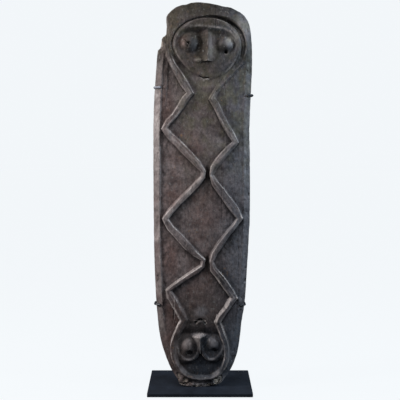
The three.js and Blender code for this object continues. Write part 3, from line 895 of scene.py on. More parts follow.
def blurred(grid: Array, reach: int) -> Array:
    """A grid of values, smoothed over some cells each way.

    Args:
        grid: The values.
        reach: Cells on either side.

    Returns:
        The smoothed values.
    """
    out = grid
    for axis in (0, 1):
        for _ in range(3):
            pad = [(reach + 1, reach) if a == axis else (0, 0) for a in (0, 1)]
            total = np.cumsum(np.pad(out, pad, mode="edge"), axis=axis)
            count = out.shape[axis]
            late = np.take(total, range(2 * reach + 1, 2 * reach + 1 + count), axis=axis)
            early = np.take(total, range(count), axis=axis)
            out = (late - early) / (2 * reach + 1)
    return out


# The panel

@dataclass
class CarvedPanel:
    """The wooden board, with its carved front, adzed back and broken edges."""

    relief: Relief = field(default_factory=Relief)
    field_y: float = -54.0
    back_y: float = -16.0
    back_chamfer: float = 7.0
    columns: int = 216
    rows: int = 864
    end_rows: float = 2.5
    side_cuts: int = 5
    front_edge_y: float = -45.0
    back_edge_y: float = -23.0
    faces_wanted: int = 180_000
    smooth_degrees: float = 55.0
    ochre_spots: tuple[Oval, ...] = (
        Oval(-58, 1009, 30, 26, 0.9), Oval(88, 1139, 24, 22, 0.8), Oval(-30, 640, 34, 30, 0.5),
        Oval(96, 470, 30, 34, 0.5), Oval(-92, 900, 30, 60, 0.5), Oval(-104, 150, 26, 80, 0.5),
        Oval(-150, 1180, 26, 60, 0.6), Oval(-60, 40, 40, 30, 0.5))
    # Spots painted darker: painted shade left of the nose, beside the right band's legs and in the gaps between the
    # bands' points; elsewhere darker wood.
    dark_and_shaded_spots: tuple[Oval, ...] = (
        Oval(4, 1350, 30, 70, 0.36), Oval(84, 1332, 24, 24, 0.5), Oval(92, 1064, 40, 70, 0.12),
        Oval(14, 212, 16, 60, 0.4), Oval(78, 455, 34, 60, 0.5), Oval(118, 600, 34, 60, 0.4),
        Oval(100, 440, 44, 90, 0.4), Oval(140, 1190, 50, 90, 0.2), Oval(-128, 1120, 50, 140, 0.25),
        Oval(29, 853, 15, 46, 1.1), Oval(0, 64, 62, 12, 0.2), Oval(29, 510, 14, 46, 1.1), Oval(-43, 1357, 9, 9, 0.8))
    # Painted highlights along a band leg and along the loop's outer right edge.
    highlight_strokes: tuple[Points, ...] = (((-128, 692), (0, 836)),)
    worn_and_highlit_edges: tuple[Points, ...] = (
        ((82, 272), (100, 224), (114, 176), (113, 124), (97, 84)),)
    # Painted shadows along the lower sides of three legs of the band.
    shadow_strokes: tuple[Points, ...] = (
        ((-123, 672), (24, 835)), ((-114, 388), (20, 486)), ((59, 503), (165, 668)))
    # Spots of painted cool light on cool-lit faces: the lower face's swell, the eyes, the brow, the nose and the
    # loop.
    cool_light_spots: tuple[Oval, ...] = (
        Oval(8, 316, 40, 34, 0.5),
        Oval(-24, 1348, 28, 44, 0.7), Oval(112, 1364, 28, 28, 0.6), Oval(60, 1412, 80, 16, 0.6),
        Oval(48, 1345, 22, 74, 0.3), Oval(0, 90, 120, 60, 0.5), Oval(30, 200, 40, 90, 0.4))
    # Spots painted paler: partly painted light on the right eye, the nose's right face, the nostril, a glint on the
    # left eye, the lower face's swell and nose underside and the foot; partly paler wood.
    pale_and_lit_spots: tuple[Oval, ...] = (
        Oval(112, 1362, 24, 26, 0.9), Oval(48, 1345, 22, 74, 0.4), Oval(160, 1410, 46, 80, 0.6),
        Oval(-6, 1292, 16, 9, 0.5), Oval(-61, 1353, 7, 9, 0.5), Oval(-50, 186, 30, 30, 0.7),
        Oval(2, 314, 36, 30, 0.5), Oval(-26, 1350, 24, 30, 0.06),
        Oval(-94, 150, 18, 70, 0.4), Oval(92, 150, 18, 50, 0.4), Oval(54, 192, 28, 24, 0.4), Oval(-3, 223, 40, 11, 1.3), Oval(-3, 28, 44, 22, 0.7),
        Oval(-52, 120, 34, 10, 0.4), Oval(48, 122, 34, 10, 0.5), Oval(74, 56, 34, 34, 0.5),
        Oval(-80, 66, 30, 34, 0.4))
    red_spots: tuple[Oval, ...] = (
        Oval(4, 1345, 32, 70, 0.9), Oval(-30, 960, 90, 120, 0.35), Oval(20, 700, 90, 90, 0.4),
        Oval(-66, 1366, 36, 40, 0.8), Oval(-130, 1120, 40, 130, 0.5), Oval(-120, 520, 50, 130, 0.5), Oval(-100, 300, 70, 90, 0.7),
        Oval(0, 400, 70, 60, 0.3), Oval(-120, 180, 40, 90, 0.8), Oval(-70, 90, 40, 30, 0.5))

    def __post_init__(self) -> None:
        """Space the rows closer near the foot and the crown."""
        share = np.linspace(0.0, 1.0, self.rows + 1)
        ends = np.exp(-share / 0.02) + np.exp((share - 1.0) / 0.02)
        place = np.concatenate([[0.0], np.cumsum(1.0 / (1.0 + self.end_rows * ends[1:]))])
        edge = self.relief.edge
        low, high = edge.foot + edge.rounding, edge.crown - edge.rounding
        self.row_z = lerp(low, high, place / place[-1])
        self.row_left, self.row_right = edge.sides(self.row_z)

    def sheet(self, name: str) -> bpy.types.Object:
        """A flat grid that fills the outline.

        Args:
            name: Name of the object.

        Returns:
            The grid, in millimetres, in the plane y = 0.
        """
        bpy.ops.mesh.primitive_grid_add(x_subdivisions=self.columns, y_subdivisions=self.rows,
                                        size=2.0)
        obj = bpy.context.active_object
        obj.name = name
        places = read_places(obj)
        row = np.rint((places[:, 1] + 1.0) / 2.0 * self.rows).astype(int)
        x = lerp(self.row_left[row], self.row_right[row], (places[:, 0] + 1.0) / 2.0)
        write_places(obj, np.stack([x, np.zeros_like(x), self.row_z[row]], 1))
        return obj

    def front(self) -> bpy.types.Object:
        """The carved front."""
        obj = self.sheet("panel_front")
        places = read_places(obj)
        heights = self.relief.heights(places[:, 0], places[:, 2])
        places[:, 1] = self.field_y - heights
        write_places(obj, places)
        self.height_grid = heights.reshape(self.rows + 1, self.columns + 1)
        return obj

    def back(self) -> bpy.types.Object:
        """The back, smoothed with an adze."""
        obj = self.sheet("panel_back")
        places = read_places(obj)
        x, z = places[:, 0], places[:, 2]
        noise = self.relief.weather.noise
        inset = self.relief.edge.inset(x, z)
        scallops = np.abs(noise.at(x + 500.0, z, 34.0, 52.0)) * 1.8
        grain = np.maximum(0.35 * (1.0 + noise.layered(x - 400.0, z, 7.0, 90.0, 2)), 0.0)
        rounded = self.back_chamfer * (1.0 - np.sqrt(ramp(inset, 0.0, self.relief.rim_run)))
        places[:, 1] = self.back_y - 0.3 - scallops - grain - rounded
        write_places(obj, places)
        obj.data.flip_normals()
        return obj

    def round_sides(self, obj: bpy.types.Object, first: int) -> None:
        """Push the rings between front and back out to the outline.

        Args:
            obj: The board.
            first: Index of the first point of the rings.
        """
        places = read_places(obj)
        ring = places[first:]
        x, y, z = ring[:, 0], ring[:, 1], ring[:, 2]
        edge, step = self.relief.edge, 0.25
        out_x = edge.inset(x - step, z) - edge.inset(x + step, z)
        out_z = edge.inset(x, z - step) - edge.inset(x, z + step)
        length = np.maximum(np.hypot(out_x, out_z), 1e-6)
        depth = ramp(y, self.front_edge_y, self.back_edge_y)
        round_part = np.sqrt(np.clip(4.0 * depth * (1.0 - depth), 0.0, 1.0))
        noise = self.relief.weather.noise
        worn = 0.5 * np.abs(noise.layered(y * 3.0 + 900.0, z + x, 20.0, 30.0, 3))
        push = np.maximum(edge.rounding * round_part - worn, -1.0)
        ring[:, 0] = x + push * out_x / length
        ring[:, 2] = z + push * out_z / length
        write_places(obj, places)

    def grid_value(self, grid: Array, x: Array, z: Array) -> Array:
        """Values of a grid over the front at places on it.

        Args:
            grid: Values in rows and columns.
            x: Places across.
            z: Places up.

        Returns:
            The value at each place.
        """
        row = np.interp(z, self.row_z, np.arange(self.rows + 1))
        low = np.minimum(row.astype(int), self.rows - 1)
        left = np.interp(z, self.row_z, self.row_left)
        right = np.interp(z, self.row_z, self.row_right)
        column = np.clip((x - left) / (right - left), 0.0, 1.0) * self.columns
        near = np.minimum(column.astype(int), self.columns - 1)
        fr, fc = row - low, column - near
        lower = lerp(grid[low, near], grid[low, near + 1], fc)
        upper = lerp(grid[low + 1, near], grid[low + 1, near + 1], fc)
        return lerp(lower, upper, fr)

    def spots(self, spots: tuple[Oval, ...], x: Array, z: Array) -> Array:
        """Soft spots added up, each as strong as its size."""
        return sum(spot.size * ease(1.0 - spot.reach(x, z), 0.0, 0.8) for spot in spots)

    def smoke_and_painted_shade(self, x: Array, z: Array) -> Array:
        """Where smoke and handling have left the front darker and where shade is painted on it, from 0 to 1."""
        # Painted shade darkens the head, the eye hollows, the loop's recess and the lower field; the crown is
        # darkened by smoke.
        head = 0.16 * ease(z, 930.0, 1060.0) * ease(x, -90.0, -40.0)
        head = np.maximum(head, 0.72 * ease(z, 1130.0, 1330.0))
        crown = 0.86 * ease(z, 1425.0, 1475.0)
        middle = 0.12 * ease(80.0 - np.abs(x - 10.0), 0.0, 30.0)
        foot = 0.3 * ease(105.0 - z, 0.0, 50.0) * ease(z, 34.0, 46.0)
        recess = 0.68 * self.relief.band.ring.encloses(x, z) * ease(262.0 - z, 0.0, 60.0)
        low = 0.55 * ease(500.0 - z, 0.0, 240.0) * (1.0 - 0.6 * ease(np.abs(x), 75.0, 130.0))
        inside = self.relief.upper.inside(x, z)
        hollow = 0.54 * self.relief.upper.eye_hollows(x, z, inside) * (inside > 0.0)
        dark = np.maximum.reduce([head, crown, foot, recess, low, hollow]) + middle
        dark = dark + self.spots(self.dark_and_shaded_spots, x, z) - self.spots(self.pale_and_lit_spots, x, z)
        return np.clip(dark, 0.0, 1.0)

    def cool_light_tint(self, x: Array, z: Array) -> Array:
        """Where the blue-grey of the cool right-hand light is painted into the wood's colour, from 0 to 1."""
        noise = self.relief.weather.noise
        right = ease(x + 12.0 * noise.layered(x + 40.0, z, 40.0, 60.0, 2), 20.0, 150.0)
        low = ease(330.0 - z, 0.0, 200.0) * ease(x, -90.0, 20.0)
        cool_light = self.spots(self.cool_light_spots, x, z)
        return np.clip(0.75 * right + 0.6 * low + cool_light, 0.0, 1.0)

    def shade(self, x: Array, z: Array) -> Array:
        """How much painted shadow falls at each place, most below whatever stands proud."""
        smooth = blurred(self.height_grid, 3)
        across = (self.row_right - self.row_left)[:, None] / self.columns
        rise_x = self.grid_value(np.gradient(smooth, axis=1) / across, x, z)
        rise_z = self.grid_value(np.gradient(smooth, self.row_z, axis=0), x, z)
        lit = ease(rise_x, 0.0, 0.3) * (1.0 - ease(x, -10.0, 60.0))
        under = ease(rise_x, 0.0, 0.3) * ease(x, 30.0, 60.0) * ease(z, 880.0, 1000.0)
        return 0.3 + 0.8 * np.maximum(ease(rise_z, -0.1, 0.35), under) * (1.0 - 0.9 * lit)

    def rubbing_and_highlight(self, normals: Array, x: Array, z: Array) -> Array:
        """How much hands and cloths have rubbed edges that face each way, and how much painted highlight the edges
        facing the lamps carry.

        Args:
            normals: Directions in which the places face.
            x: Places across.
            z: Heights up the panel.

        Returns:
            Share of the full wear and painted highlight.
        """
        left = ease(-normals[:, 0], 0.0, 0.3)
        up = ease(normals[:, 2], -0.08, 0.22)
        low = ease(1150.0 - z, 0.0, 700.0)
        upper = lerp(0.95, lerp(0.55, 1.7, low), left)
        right = ease(normals[:, 0], 0.1, 0.4) * ease(280.0 - z, 0.0, 60.0)
        lower = lerp(lerp(0.1, 0.8, right), lerp(0.05, 1.2, low), left)
        ends = (1.0 - 0.6 * ease(z, 1230.0, 1330.0)) * (1.0 - 0.8 * ease(125.0 - z, 0.0, 30.0))
        calm = 1.0 - 0.4 * ease(x, 10.0, 60.0) * left * ease(z, 420.0, 560.0)
        calm = calm * (1.0 - 0.6 * ease(x, 60.0, 80.0) * left * ease(200.0 - z, 0.0, 40.0))
        return lerp(lower, upper + 0.6 * right, up) * ends * calm

    def age(self, obj: bpy.types.Object) -> None:
        """Work out where the wood is worn, dirty or stained and where light and shade are painted on it, for its
        material.

        Args:
            obj: The board, in millimetres.
        """
        places, normals = read_places(obj), read_normals(obj)
        x, z = places[:, 0], places[:, 2]
        facing = ease(-normals[:, 1], 0.05, 0.35)
        heights = self.height_grid
        crisp = self.grid_value(heights - blurred(heights, 1), x, z)
        broad = self.grid_value(heights - blurred(heights, 9), x, z)
        inset = self.relief.edge.inset(x, z)
        noise = self.relief.weather.noise
        patchy = np.maximum(0.55 + 0.8 * noise.layered(x + 60.0, z, 26.0, 40.0, 3), 0.0)
        rim = ease(5.0 - inset, 0.0, 5.0)
        # Wear on crisp edges, lightest on edges that face the lamps: real rubbing and painted highlight.
        wear = ramp(crisp, 0.6, 1.5) * patchy * self.rubbing_and_highlight(normals, x, z)
        lip = self.relief.lower
        wear = wear * (0.1 + 0.9 * ease(Track(lip.slit).distance(x, z), 12.0, 20.0))
        upper = self.relief.upper
        # Lighter lines along the brow's lower edge, the face's rim and the upper lip: rubbed edges with painted
        # highlight.
        brow = ease(6.0 - Track(upper.brow).distance(x, z), 0.0, 5.0) * (0.12 + 0.25 * patchy)
        inside = upper.inside(x, z)
        rim_line = ease(5.0 - np.abs(inside - 5.0), 0.0, 4.0) * (0.1 + 0.25 * patchy)
        rim_line = rim_line * ease(np.abs(x - upper.x), 50.0, 90.0)
        lips = 0.35 * ease(4.0 - Track(upper.lip).distance(x, z), 0.0, 3.0)
        wear = np.maximum.reduce([wear, brow * ease(x, -60.0, 0.0), rim_line, lips])
        on_band = self.relief.band.on(x, z)
        streaks = self.relief.band.streaks(x, z, noise) * on_band
        wear = wear + 0.4 * ramp(streaks, 0.25, 1.1) * ease(z, 240.0, 300.0)
        # Painted highlight lines on the band and the loop's edge.
        for stroke in self.highlight_strokes:
            along = ease(16.0 - Track(stroke).distance(x, z), 0.0, 8.0) * (0.15 + 0.25 * patchy)
            wear = np.maximum(wear, along * on_band)
        for edge in self.worn_and_highlit_edges:
            near = ease(5.0 - Track(curve_through(edge)).distance(x, z), 0.0, 3.0)
            wear = np.maximum(wear, near * (0.2 + 0.35 * patchy))
        foot_line = 0.5 * ease(5.0 - inset, 0.0, 4.0) * ease(48.0 - z, 0.0, 20.0) * patchy
        wear = np.maximum(wear, foot_line)
        # Painted light on left-facing slopes low on the board.
        slope = ease(-normals[:, 0], 0.15, 0.5) * ease(560.0 - z, 0.0, 160.0)
        slope = slope * ease(z, 150.0, 260.0) * (inset > 40.0) * (0.3 + 0.5 * patchy)
        side = 0.25 + 0.3 * noise.layered(x + 800.0, z, 30.0, 50.0, 3)
        # Painted sheen on the left rim, which faces the left lamp.
        left_rim_sheen = 0.25 * ease(30.0 - inset, 0.0, 6.0) * (x < 0.0) * ease(1240.0 - z, 0.0, 120.0)
        left_rim_sheen = left_rim_sheen * ease(z, 60.0, 420.0)
        # Painted highlights from the pale spots.
        pale = 0.32 * self.spots(self.pale_and_lit_spots, x, z)
        wear = np.maximum.reduce([wear, slope, 0.35 * rim * patchy, left_rim_sheen * (0.2 + 1.25 * patchy),
                                  pale])
        wear = lerp(side, wear, facing)
        wide = self.grid_value(heights - blurred(heights, 18), x, z)
        # Dirt in creases and hollows, with painted shadow below raised parts and beside three legs.
        dirt_and_shadow = ramp(-crisp, 0.2, 1.0) + 0.8 * ramp(-broad, 0.8, 6.0) + 0.3 * ramp(-wide, 2.0, 6.0)
        dirt_and_shadow = dirt_and_shadow * self.shade(x, z)
        for stroke in self.shadow_strokes:
            along = ease(17.0 - Track(stroke).distance(x, z), 0.0, 12.0)
            dirt_and_shadow = dirt_and_shadow + 0.4 * along * (1.0 - on_band)
        in_loop = self.relief.band.ring.encloses(x, z)
        dirt_and_shadow = dirt_and_shadow * (1.0 - 0.45 * ease(z, 1250.0, 1330.0) - 0.4 * in_loop)
        dirt_and_shadow = dirt_and_shadow * (1.0 - 0.85 * ease(60.0 - z, 0.0, 30.0))
        # Painted shade in the mouth and in the lower face's slit.
        cuts = ease(5.0 - Track(upper.mouth).distance(x, z), 0.0, 4.0)
        cuts = np.maximum(cuts, ease(8.0 - Track(lip.slit).distance(x, z), 0.0, 4.0))
        dirt_and_shadow = np.maximum.reduce([dirt_and_shadow, cuts, 0.5 * ramp(-streaks, 0.25, 1.1)])
        broken = self.spots(self.relief.weather.chips, x, z)
        fresh = broken * ramp(noise.layered(x + 30.0, z, 22.0, 17.0, 3), -0.6, 0.6)
        moss = ease(z, 640.0, 1330.0) * np.maximum(ease(x, -110.0, -50.0), ease(z, 1250.0, 1330.0))
        moss = moss * (0.5 + 0.9 * noise.layered(x + 70.0, z, 24.0, 24.0, 3))
        red = self.spots(self.red_spots, x, z) * (0.7 + 0.4 * noise.layered(x, z, 50.0, 70.0, 2))
        # The wear value holds both rubbing and painted highlights.
        write_values(obj, "wear", np.clip(wear, 0.0, 1.0))
        write_values(obj, "dirt_and_shadow", np.clip(dirt_and_shadow * facing, 0.0, 1.0))
        write_values(obj, "fresh", np.clip(fresh, 0.0, 1.0))
        write_values(obj, "ochre", np.clip(self.spots(self.ochre_spots, x, z) * facing, 0.0, 1.0))
        write_values(obj, "raised", np.clip(ramp(broad, 0.5, 5.0) * facing, 0.0, 1.0))
        write_values(obj, "smoke_and_painted_shade", self.smoke_and_painted_shade(x, z) * facing)
        write_values(obj, "red", np.clip(red * facing, 0.0, 1.0))
        write_values(obj, "moss", np.clip(moss, 0.0, 1.0))
        write_values(obj, "cool_light_tint", self.cool_light_tint(x, z))

    def build(self) -> bpy.types.Object:
        """Front, back and sides as one closed board.

        Returns:
            The panel, in metres.
        """
        front, back = self.front(), self.back()
        only(front, back)
        bpy.ops.object.join()
        panel = bpy.context.active_object
        panel.name = panel.data.name = "carved_panel"
        flat_count = len(panel.data.vertices)
        bpy.ops.object.mode_set(mode="EDIT")
        bpy.ops.mesh.select_mode(type="EDGE")
        bpy.ops.mesh.select_all(action="DESELECT")
        bpy.ops.mesh.select_non_manifold(extend=False)
        bpy.ops.mesh.bridge_edge_loops(number_cuts=self.side_cuts, interpolation="LINEAR")
        bpy.ops.mesh.select_all(action="SELECT")
        bpy.ops.mesh.normals_make_consistent(inside=False)
        bpy.ops.object.mode_set(mode="OBJECT")
        self.round_sides(panel, flat_count)
        before = sum(len(face.vertices) - 2 for face in panel.data.polygons)
        ratio = self.faces_wanted / before
        apply_modifier(panel, "DECIMATE", ratio=ratio, use_collapse_triangulate=True)
        LOG.info("panel thinned from %d to %d triangles", before, len(panel.data.polygons))
        self.age(panel)
        write_places(panel, read_places(panel) * MM)
        only(panel)
        bpy.ops.object.shade_smooth_by_angle(angle=math.radians(self.smooth_degrees))
        return panel


# Finishes

class MixKind(Enum):
    """How one colour is laid over another."""

    COVER = "MIX"
    DARKEN = "MULTIPLY"
    GLAZE = "OVERLAY"


def colour(code: str) -> tuple[float, float, float, float]:
    """Linear colour of a six-digit web colour."""
    parts = [int(code[i:i + 2], 16) / 255.0 for i in (0, 2, 4)]
    linear = [p / 12.92 if p <= 0.04045 else ((p + 0.055) / 1.055) ** 2.4 for p in parts]
    return (*linear, 1.0)


class Recipe:
    """A material under construction, built from nodes that read Object coordinates."""

    def __init__(self, name: str) -> None:
        """Start the material.

        Args:
            name: Name of the material.
        """
        self.material = bpy.data.materials.new(name)
        self.material.use_nodes = True
        self.tree = self.material.node_tree
        self.shader = self.tree.nodes["Principled BSDF"]
        self.place = self.tree.nodes.new("ShaderNodeTexCoord").outputs["Object"]

    def add(self, kind: str, inputs: dict[str | int, object], **settings: object) -> bpy.types.Node:
        """Add a node.

        Args:
            kind: Type of the node.
            inputs: Values or sockets for its inputs.
            settings: Its other settings.

        Returns:
            The node.
        """
        node = self.tree.nodes.new(kind)
        for name, value in settings.items():
            setattr(node, name, value)
        for key, value in inputs.items():
            if isinstance(value, bpy.types.NodeSocket):
                self.tree.links.new(value, node.inputs[key])
            else:
                node.inputs[key].default_value = value
        return node

    def noise(self, size: float, stretch: tuple[float, float, float] = (1, 1, 1),
              detail: float = 4.0, roughness: float = 0.55,
              shift: tuple[float, float, float] = (0, 0, 0)) -> bpy.types.NodeSocket:
        """Noise with patches of a given size.

        Args:
            size: Size of the patches in metres.
            stretch: Scale of the pattern along each axis.
            detail: Layers of finer noise.
            roughness: Strength of the finer layers.
            shift: Moves the pattern.

        Returns:
            The noise, from 0 to 1.
        """
        place = self.add("ShaderNodeMapping", {"Vector": self.place, "Scale": stretch,
                                               "Location": shift}).outputs[0]
        node = self.add("ShaderNodeTexNoise", {"Vector": place, "Scale": 1.0 / size,
                                               "Detail": detail, "Roughness": roughness})
        return node.outputs[0]

    def spread(self, value: bpy.types.NodeSocket, low: float, high: float, start: float = 0.0,
               end: float = 1.0) -> bpy.types.NodeSocket:
        """Stretch values between low and high to a new range."""
        node = self.add("ShaderNodeMapRange", {"Value": value, "From Min": low, "From Max": high,
                                               "To Min": start, "To Max": end})
        return node.outputs[0]

    def math(self, operation: str, a: object, b: object) -> bpy.types.NodeSocket:
        """Reckon with two values."""
        return self.add("ShaderNodeMath", {0: a, 1: b}, operation=operation).outputs[0]

    def mix(self, share: object, under: object, over: object,
            kind: MixKind = MixKind.COVER) -> bpy.types.NodeSocket:
        """Lay one colour over another.

        Args:
            share: How much of the upper colour shows.
            under: Lower colour.
            over: Upper colour.
            kind: How it is laid on.

        Returns:
            The mixed colour.
        """
        node = self.add("ShaderNodeMix", {0: share, 6: under, 7: over}, data_type="RGBA",
                        blend_type=kind.value)
        return node.outputs[2]

    def value(self, name: str) -> bpy.types.NodeSocket:
        """A value that the mesh keeps for each point."""
        return self.add("ShaderNodeAttribute", {}, attribute_name=name).outputs["Fac"]

    def bump(self, height: bpy.types.NodeSocket, distance: float, strength: float = 1.0,
             normal: bpy.types.NodeSocket | None = None) -> bpy.types.NodeSocket:
        """Small relief in the surface.

        Args:
            height: Heights from 0 to 1.
            distance: Height of 1, in metres.
            strength: Share of the relief that shows.
            normal: Relief that this one is added to.

        Returns:
            The bent normal.
        """
        inputs = {"Height": height, "Distance": distance, "Strength": strength}
        if normal is not None:
            inputs["Normal"] = normal
        return self.add("ShaderNodeBump", inputs).outputs[0]

    def join(self, **sockets: object) -> None:
        """Join sockets or values to the shader by name, with spaces as underscores."""
        for name, value in sockets.items():
            target = self.shader.inputs[name.replace("_", " ")]
            if isinstance(value, bpy.types.NodeSocket):
                self.tree.links.new(value, target)
            else:
                target.default_value = value


@dataclass(frozen=True)
class PatinatedWood:
    """Old dark wood with a smoky, hand-rubbed patina, with painted shade, shadows, highlights and cool light laid
    into its colour.
    """

    dark: str = "413938"
    light: str = "6a6160"
    red: str = "5a3b32"
    ochre: str = "8a6a45"
    # Colour of grime and painted shadow.
    grime_and_shadow: str = "1a1818"
    # Colour of rubbed wood and painted highlights.
    rubbed_and_highlit: str = "9b9592"
    broken: str = "a89f92"
    raised: str = "6c696a"
    # Colours of smoke patina with painted shade, the second where the painted cool light falls.
    smoke_and_shade_colour: str = "25221e"
    cool_smoke_and_shade_colour: str = "1c2128"
    # Blue-grey of the painted cool light.
    cool_light: str = "424a53"
    moss: str = "51503a"
    flecks: str = "7b7d7b"

    def material(self) -> bpy.types.Material:
        """Make the material."""
        recipe = Recipe("patinated_wood")
        patches = recipe.spread(recipe.noise(0.045, detail=6.0, roughness=0.68), 0.34, 0.66)
        base = recipe.mix(patches, colour(self.dark), colour(self.light))
        warm = recipe.spread(recipe.noise(0.09, (1, 1, 0.7), 4.0, shift=(3, 1, 2)), 0.46, 0.7)
        red = recipe.math("MAXIMUM", recipe.math("MULTIPLY", warm, 0.45), recipe.value("red"))
        base = recipe.mix(recipe.math("MULTIPLY", red, 0.8), base, colour(self.red))
        # Painted light: the blue-grey tint of the cool right-hand lamp.
        base = recipe.mix(recipe.math("MULTIPLY", recipe.value("cool_light_tint"), 0.8), base,
                          colour(self.cool_light))
        base = recipe.mix(recipe.math("MULTIPLY", recipe.value("moss"), 0.55), base,
                          colour(self.moss))
        raised = recipe.math("MULTIPLY", recipe.value("raised"), 0.12)
        base = recipe.mix(raised, base, colour(self.raised))
        # Smoke patina and painted shade darken the wood towards the smoke colour.
        smoke_and_painted_shade = recipe.math("MULTIPLY", recipe.value("smoke_and_painted_shade"), 0.92)
        smoke_and_shade_colour = recipe.mix(recipe.value("cool_light_tint"), colour(self.smoke_and_shade_colour), colour(self.cool_smoke_and_shade_colour))
        base = recipe.mix(smoke_and_painted_shade, base, smoke_and_shade_colour)
        grain = recipe.noise(0.0032, (1, 1, 0.09), 5.0, 0.65)
        streak = recipe.spread(grain, 0.3, 0.7, 0.84, 1.1)
        mottle = recipe.spread(recipe.noise(0.012, (1, 1, 0.75), 6.0, 0.75, (9, 2, 4)), 0.3, 0.7,
                               0.4, 1.6)
        shade = recipe.math("MULTIPLY", streak, mottle)
        tone = recipe.add("ShaderNodeCombineColor", {0: shade, 1: shade, 2: shade}).outputs[0]
        base = recipe.mix(1.0, base, tone, MixKind.DARKEN)
        freckles = recipe.spread(recipe.noise(0.012, detail=3.0, shift=(5, 5, 5)), 0.58, 0.74)
        stain = recipe.math("MULTIPLY", freckles, recipe.math("ADD", recipe.value("ochre"), 0.10))
        base = recipe.mix(stain, base, colour(self.ochre))
        # Grime and painted shadow darken the colour.
        base = recipe.mix(recipe.math("MULTIPLY", recipe.value("dirt_and_shadow"), 0.85), base,
                          colour(self.grime_and_shadow))
        # Rubbed wood and painted highlights lighten the colour.
        fine = recipe.spread(recipe.noise(0.007, (1, 1, 0.5), 4.0), 0.35, 0.62)
        worn = recipe.math("MULTIPLY", recipe.value("wear"), recipe.math("ADD", fine, 0.35))
        base = recipe.mix(worn, base, colour(self.rubbed_and_highlit))
        flecks = recipe.spread(recipe.noise(0.008, (1, 1, 0.6), 3.0, 0.6, (4, 8, 1)), 0.6, 0.72,
                               0.0, 0.38)
        base = recipe.mix(flecks, base, colour(self.flecks))
        base = recipe.mix(recipe.value("fresh"), base, colour(self.broken))
        rough = recipe.spread(recipe.noise(0.03, detail=4.0, shift=(1, 7, 3)), 0.3, 0.7, 0.5, 0.68)
        gloss = recipe.spread(recipe.value("smoke_and_painted_shade"), 0.0, 1.0, 0.34, 0.08)
        relief = recipe.bump(grain, 0.0006, 0.6)
        pores = recipe.noise(0.0022, detail=2.0)
        relief = recipe.bump(pores, 0.0003, 0.4, relief)
        recipe.join(Base_Color=base, Roughness=rough, Normal=relief, Specular_IOR_Level=gloss)
        return recipe.material


@dataclass(frozen=True)
class PaintedSteel:
    """Steel with a thin coat of paint.

    Attributes:
        name: Name of the material.
        dark: Colour of the darker patches.
        light: Colour of the lighter patches.
        roughness: Lowest and highest roughness.
        gloss: Strength of its mirror light.
    """

    name: str
    dark: str
    light: str
    roughness: tuple[float, float]
    gloss: float = 0.5

    def material(self) -> bpy.types.Material:
        """Make the material."""
        recipe = Recipe(self.name)
        cloud = recipe.spread(recipe.noise(0.06, detail=5.0, roughness=0.6), 0.3, 0.7)
        base = recipe.mix(cloud, colour(self.dark), colour(self.light))
        speck = recipe.spread(recipe.noise(0.0015, detail=2.0), 0.62, 0.75, 0.0, 0.25)
        base = recipe.mix(speck, base, colour("4a505a"))
        rough = recipe.spread(recipe.noise(0.02, detail=5.0, shift=(2, 2, 2)), 0.3, 0.7,
                              self.roughness[0], self.roughness[1])
        peel = recipe.bump(recipe.noise(0.0016, detail=3.0), 0.0002, 0.35)
        recipe.join(Base_Color=base, Roughness=rough, Normal=peel, Specular_IOR_Level=self.gloss)
        return recipe.material


# The stand

@dataclass
class Stand:
    """Low plate, hidden post and four clips, which keep their CAD meshes."""

    plate: PaintedSteel = PaintedSteel("black_plate", "11151c", "1c222b", (0.5, 0.66), 0.2)
    clips: PaintedSteel = PaintedSteel("clip_rod", "14161b", "262a32", (0.4, 0.55), 0.3)
    # Lighter finish whose pale colour paints a reflection onto the upper-left clip.
    rubbed_and_highlit: PaintedSteel = PaintedSteel("highlit_clip_rod", "3e4148", "8b9099", (0.16, 0.3), 1.0)

    def dress(self) -> None:
        """Give the metal pieces their finishes."""
        plate, rod, bright = (kind.material() for kind in (self.plate, self.clips, self.rubbed_and_highlit))
        for name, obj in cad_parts.items():
            if name == "panel":
                continue
            finish = rod if name.endswith("clip") else plate
            # Painted reflection: the upper-left clip gets the lighter finish.
            if name == "upper_left_clip":
                finish = bright
            obj.data.materials.clear()
            obj.data.materials.append(finish)
            LOG.info("%s dressed in %s", name, finish.name)


# Camera, light and floor

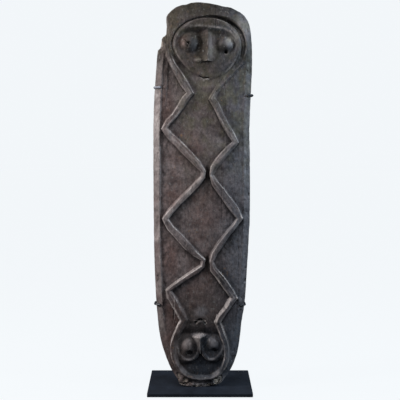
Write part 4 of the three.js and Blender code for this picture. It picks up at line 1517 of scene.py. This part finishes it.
@dataclass
class Studio:
    """Camera at the photograph's place, soft lights and a pale floor."""

    camera_place: tuple[float, float, float] = (0.0, -2.6864, 0.9709)
    camera_pitch: float = 85.35
    lens: float = 61.04
    pale: str = "f2f6f9"
    floor_size: float = 60.0
    dome_radius: float = 26.0

    def add_camera(self) -> None:
        """Add the camera."""
        data = bpy.data.cameras.new("camera")
        data.lens, data.sensor_width = self.lens, 36.0
        camera = bpy.data.objects.new("camera", data)
        bpy.context.scene.collection.objects.link(camera)
        camera.location = self.camera_place
        camera.rotation_euler = (math.radians(self.camera_pitch), 0.0, 0.0)
        bpy.context.scene.camera = camera

    def add_light(self, name: str, place: tuple[float, float, float],
                  aim: tuple[float, float, float], size: tuple[float, float], power: float,
                  tint: tuple[float, float, float]) -> None:
        """Add a soft light.

        Args:
            name: Name of the light.
            place: Where it stands.
            aim: Point that it faces.
            size: Its width and height.
            power: Its power in watts.
            tint: Its colour.
        """
        data = bpy.data.lights.new(name, "AREA")
        data.shape = "RECTANGLE"
        data.size, data.size_y = size
        data.energy, data.color = power, tint
        light = bpy.data.objects.new(name, data)
        bpy.context.scene.collection.objects.link(light)
        light.location = place
        towards = Vector(aim) - Vector(place)
        light.rotation_euler = towards.to_track_quat("-Z", "Y").to_euler()

    def add_lights(self) -> None:
        """Warm light high on the left, a weaker cool one on the right and a dim room."""
        self.add_light("left", (-1.8, -0.55, 1.55), (0, 0, 0.8), (0.35, 1.0), 58.0, (1.0, 0.94, 0.93))
        self.add_light("right", (1.8, -0.55, 1.55), (0, 0, 0.8), (0.35, 1.0), 42.0, (0.78, 0.89, 1.0))
        self.add_light("top", (0.0, -1.4, 2.9), (0, 0, 0.5), (1.2, 0.8), 34.0, (1.0, 0.98, 0.98))
        world = bpy.data.worlds.new("room")
        world.use_nodes = True
        room = world.node_tree.nodes["Background"]
        room.inputs[0].default_value = (0.62, 0.68, 0.78, 1.0)
        room.inputs[1].default_value = 0.16
        bpy.context.scene.world = world

    def pale_material(self) -> bpy.types.Material:
        """Even pale paint for the floor and the backdrop."""
        recipe = Recipe("pale_paint")
        recipe.join(Base_Color=(0.02, 0.02, 0.02, 1.0), Roughness=1.0,
                    Emission_Color=colour(self.pale), Emission_Strength=1.0)
        recipe.shader.inputs["Specular IOR Level"].default_value = 0.0
        return recipe.material

    def add_stage(self) -> None:
        """Add the floor and the dome behind it."""
        paint = self.pale_material()
        only_none()
        bpy.ops.mesh.primitive_plane_add(size=self.floor_size)
        floor = bpy.context.active_object
        floor.name = "floor"
        bpy.ops.mesh.primitive_uv_sphere_add(radius=self.dome_radius)
        dome = bpy.context.active_object
        dome.name = "backdrop"
        for obj in (floor, dome):
            obj.data.materials.append(paint)
            obj.visible_diffuse = False
            obj.visible_glossy = False
            obj.visible_shadow = False

    def build(self) -> None:
        """Set up the studio."""
        self.add_camera()
        self.add_lights()
        self.add_stage()
        bpy.context.scene.view_settings.view_transform = "Standard"


def only_none() -> None:
    """Deselect everything."""
    bpy.ops.object.select_all(action="DESELECT")


def main() -> None:
    """Build the panel, dress the stand and light the scene."""
    Studio().build()
    only_none()
    panel = CarvedPanel().build()
    panel.data.materials.append(PatinatedWood().material())
    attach(panel, "root")
    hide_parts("panel")
    LOG.info("%s built with %d faces", panel.name, len(panel.data.polygons))
    Stand().dress()


if __name__ == "__main__":
    logging.basicConfig(level=logging.INFO, format="%(message)s")
    main()
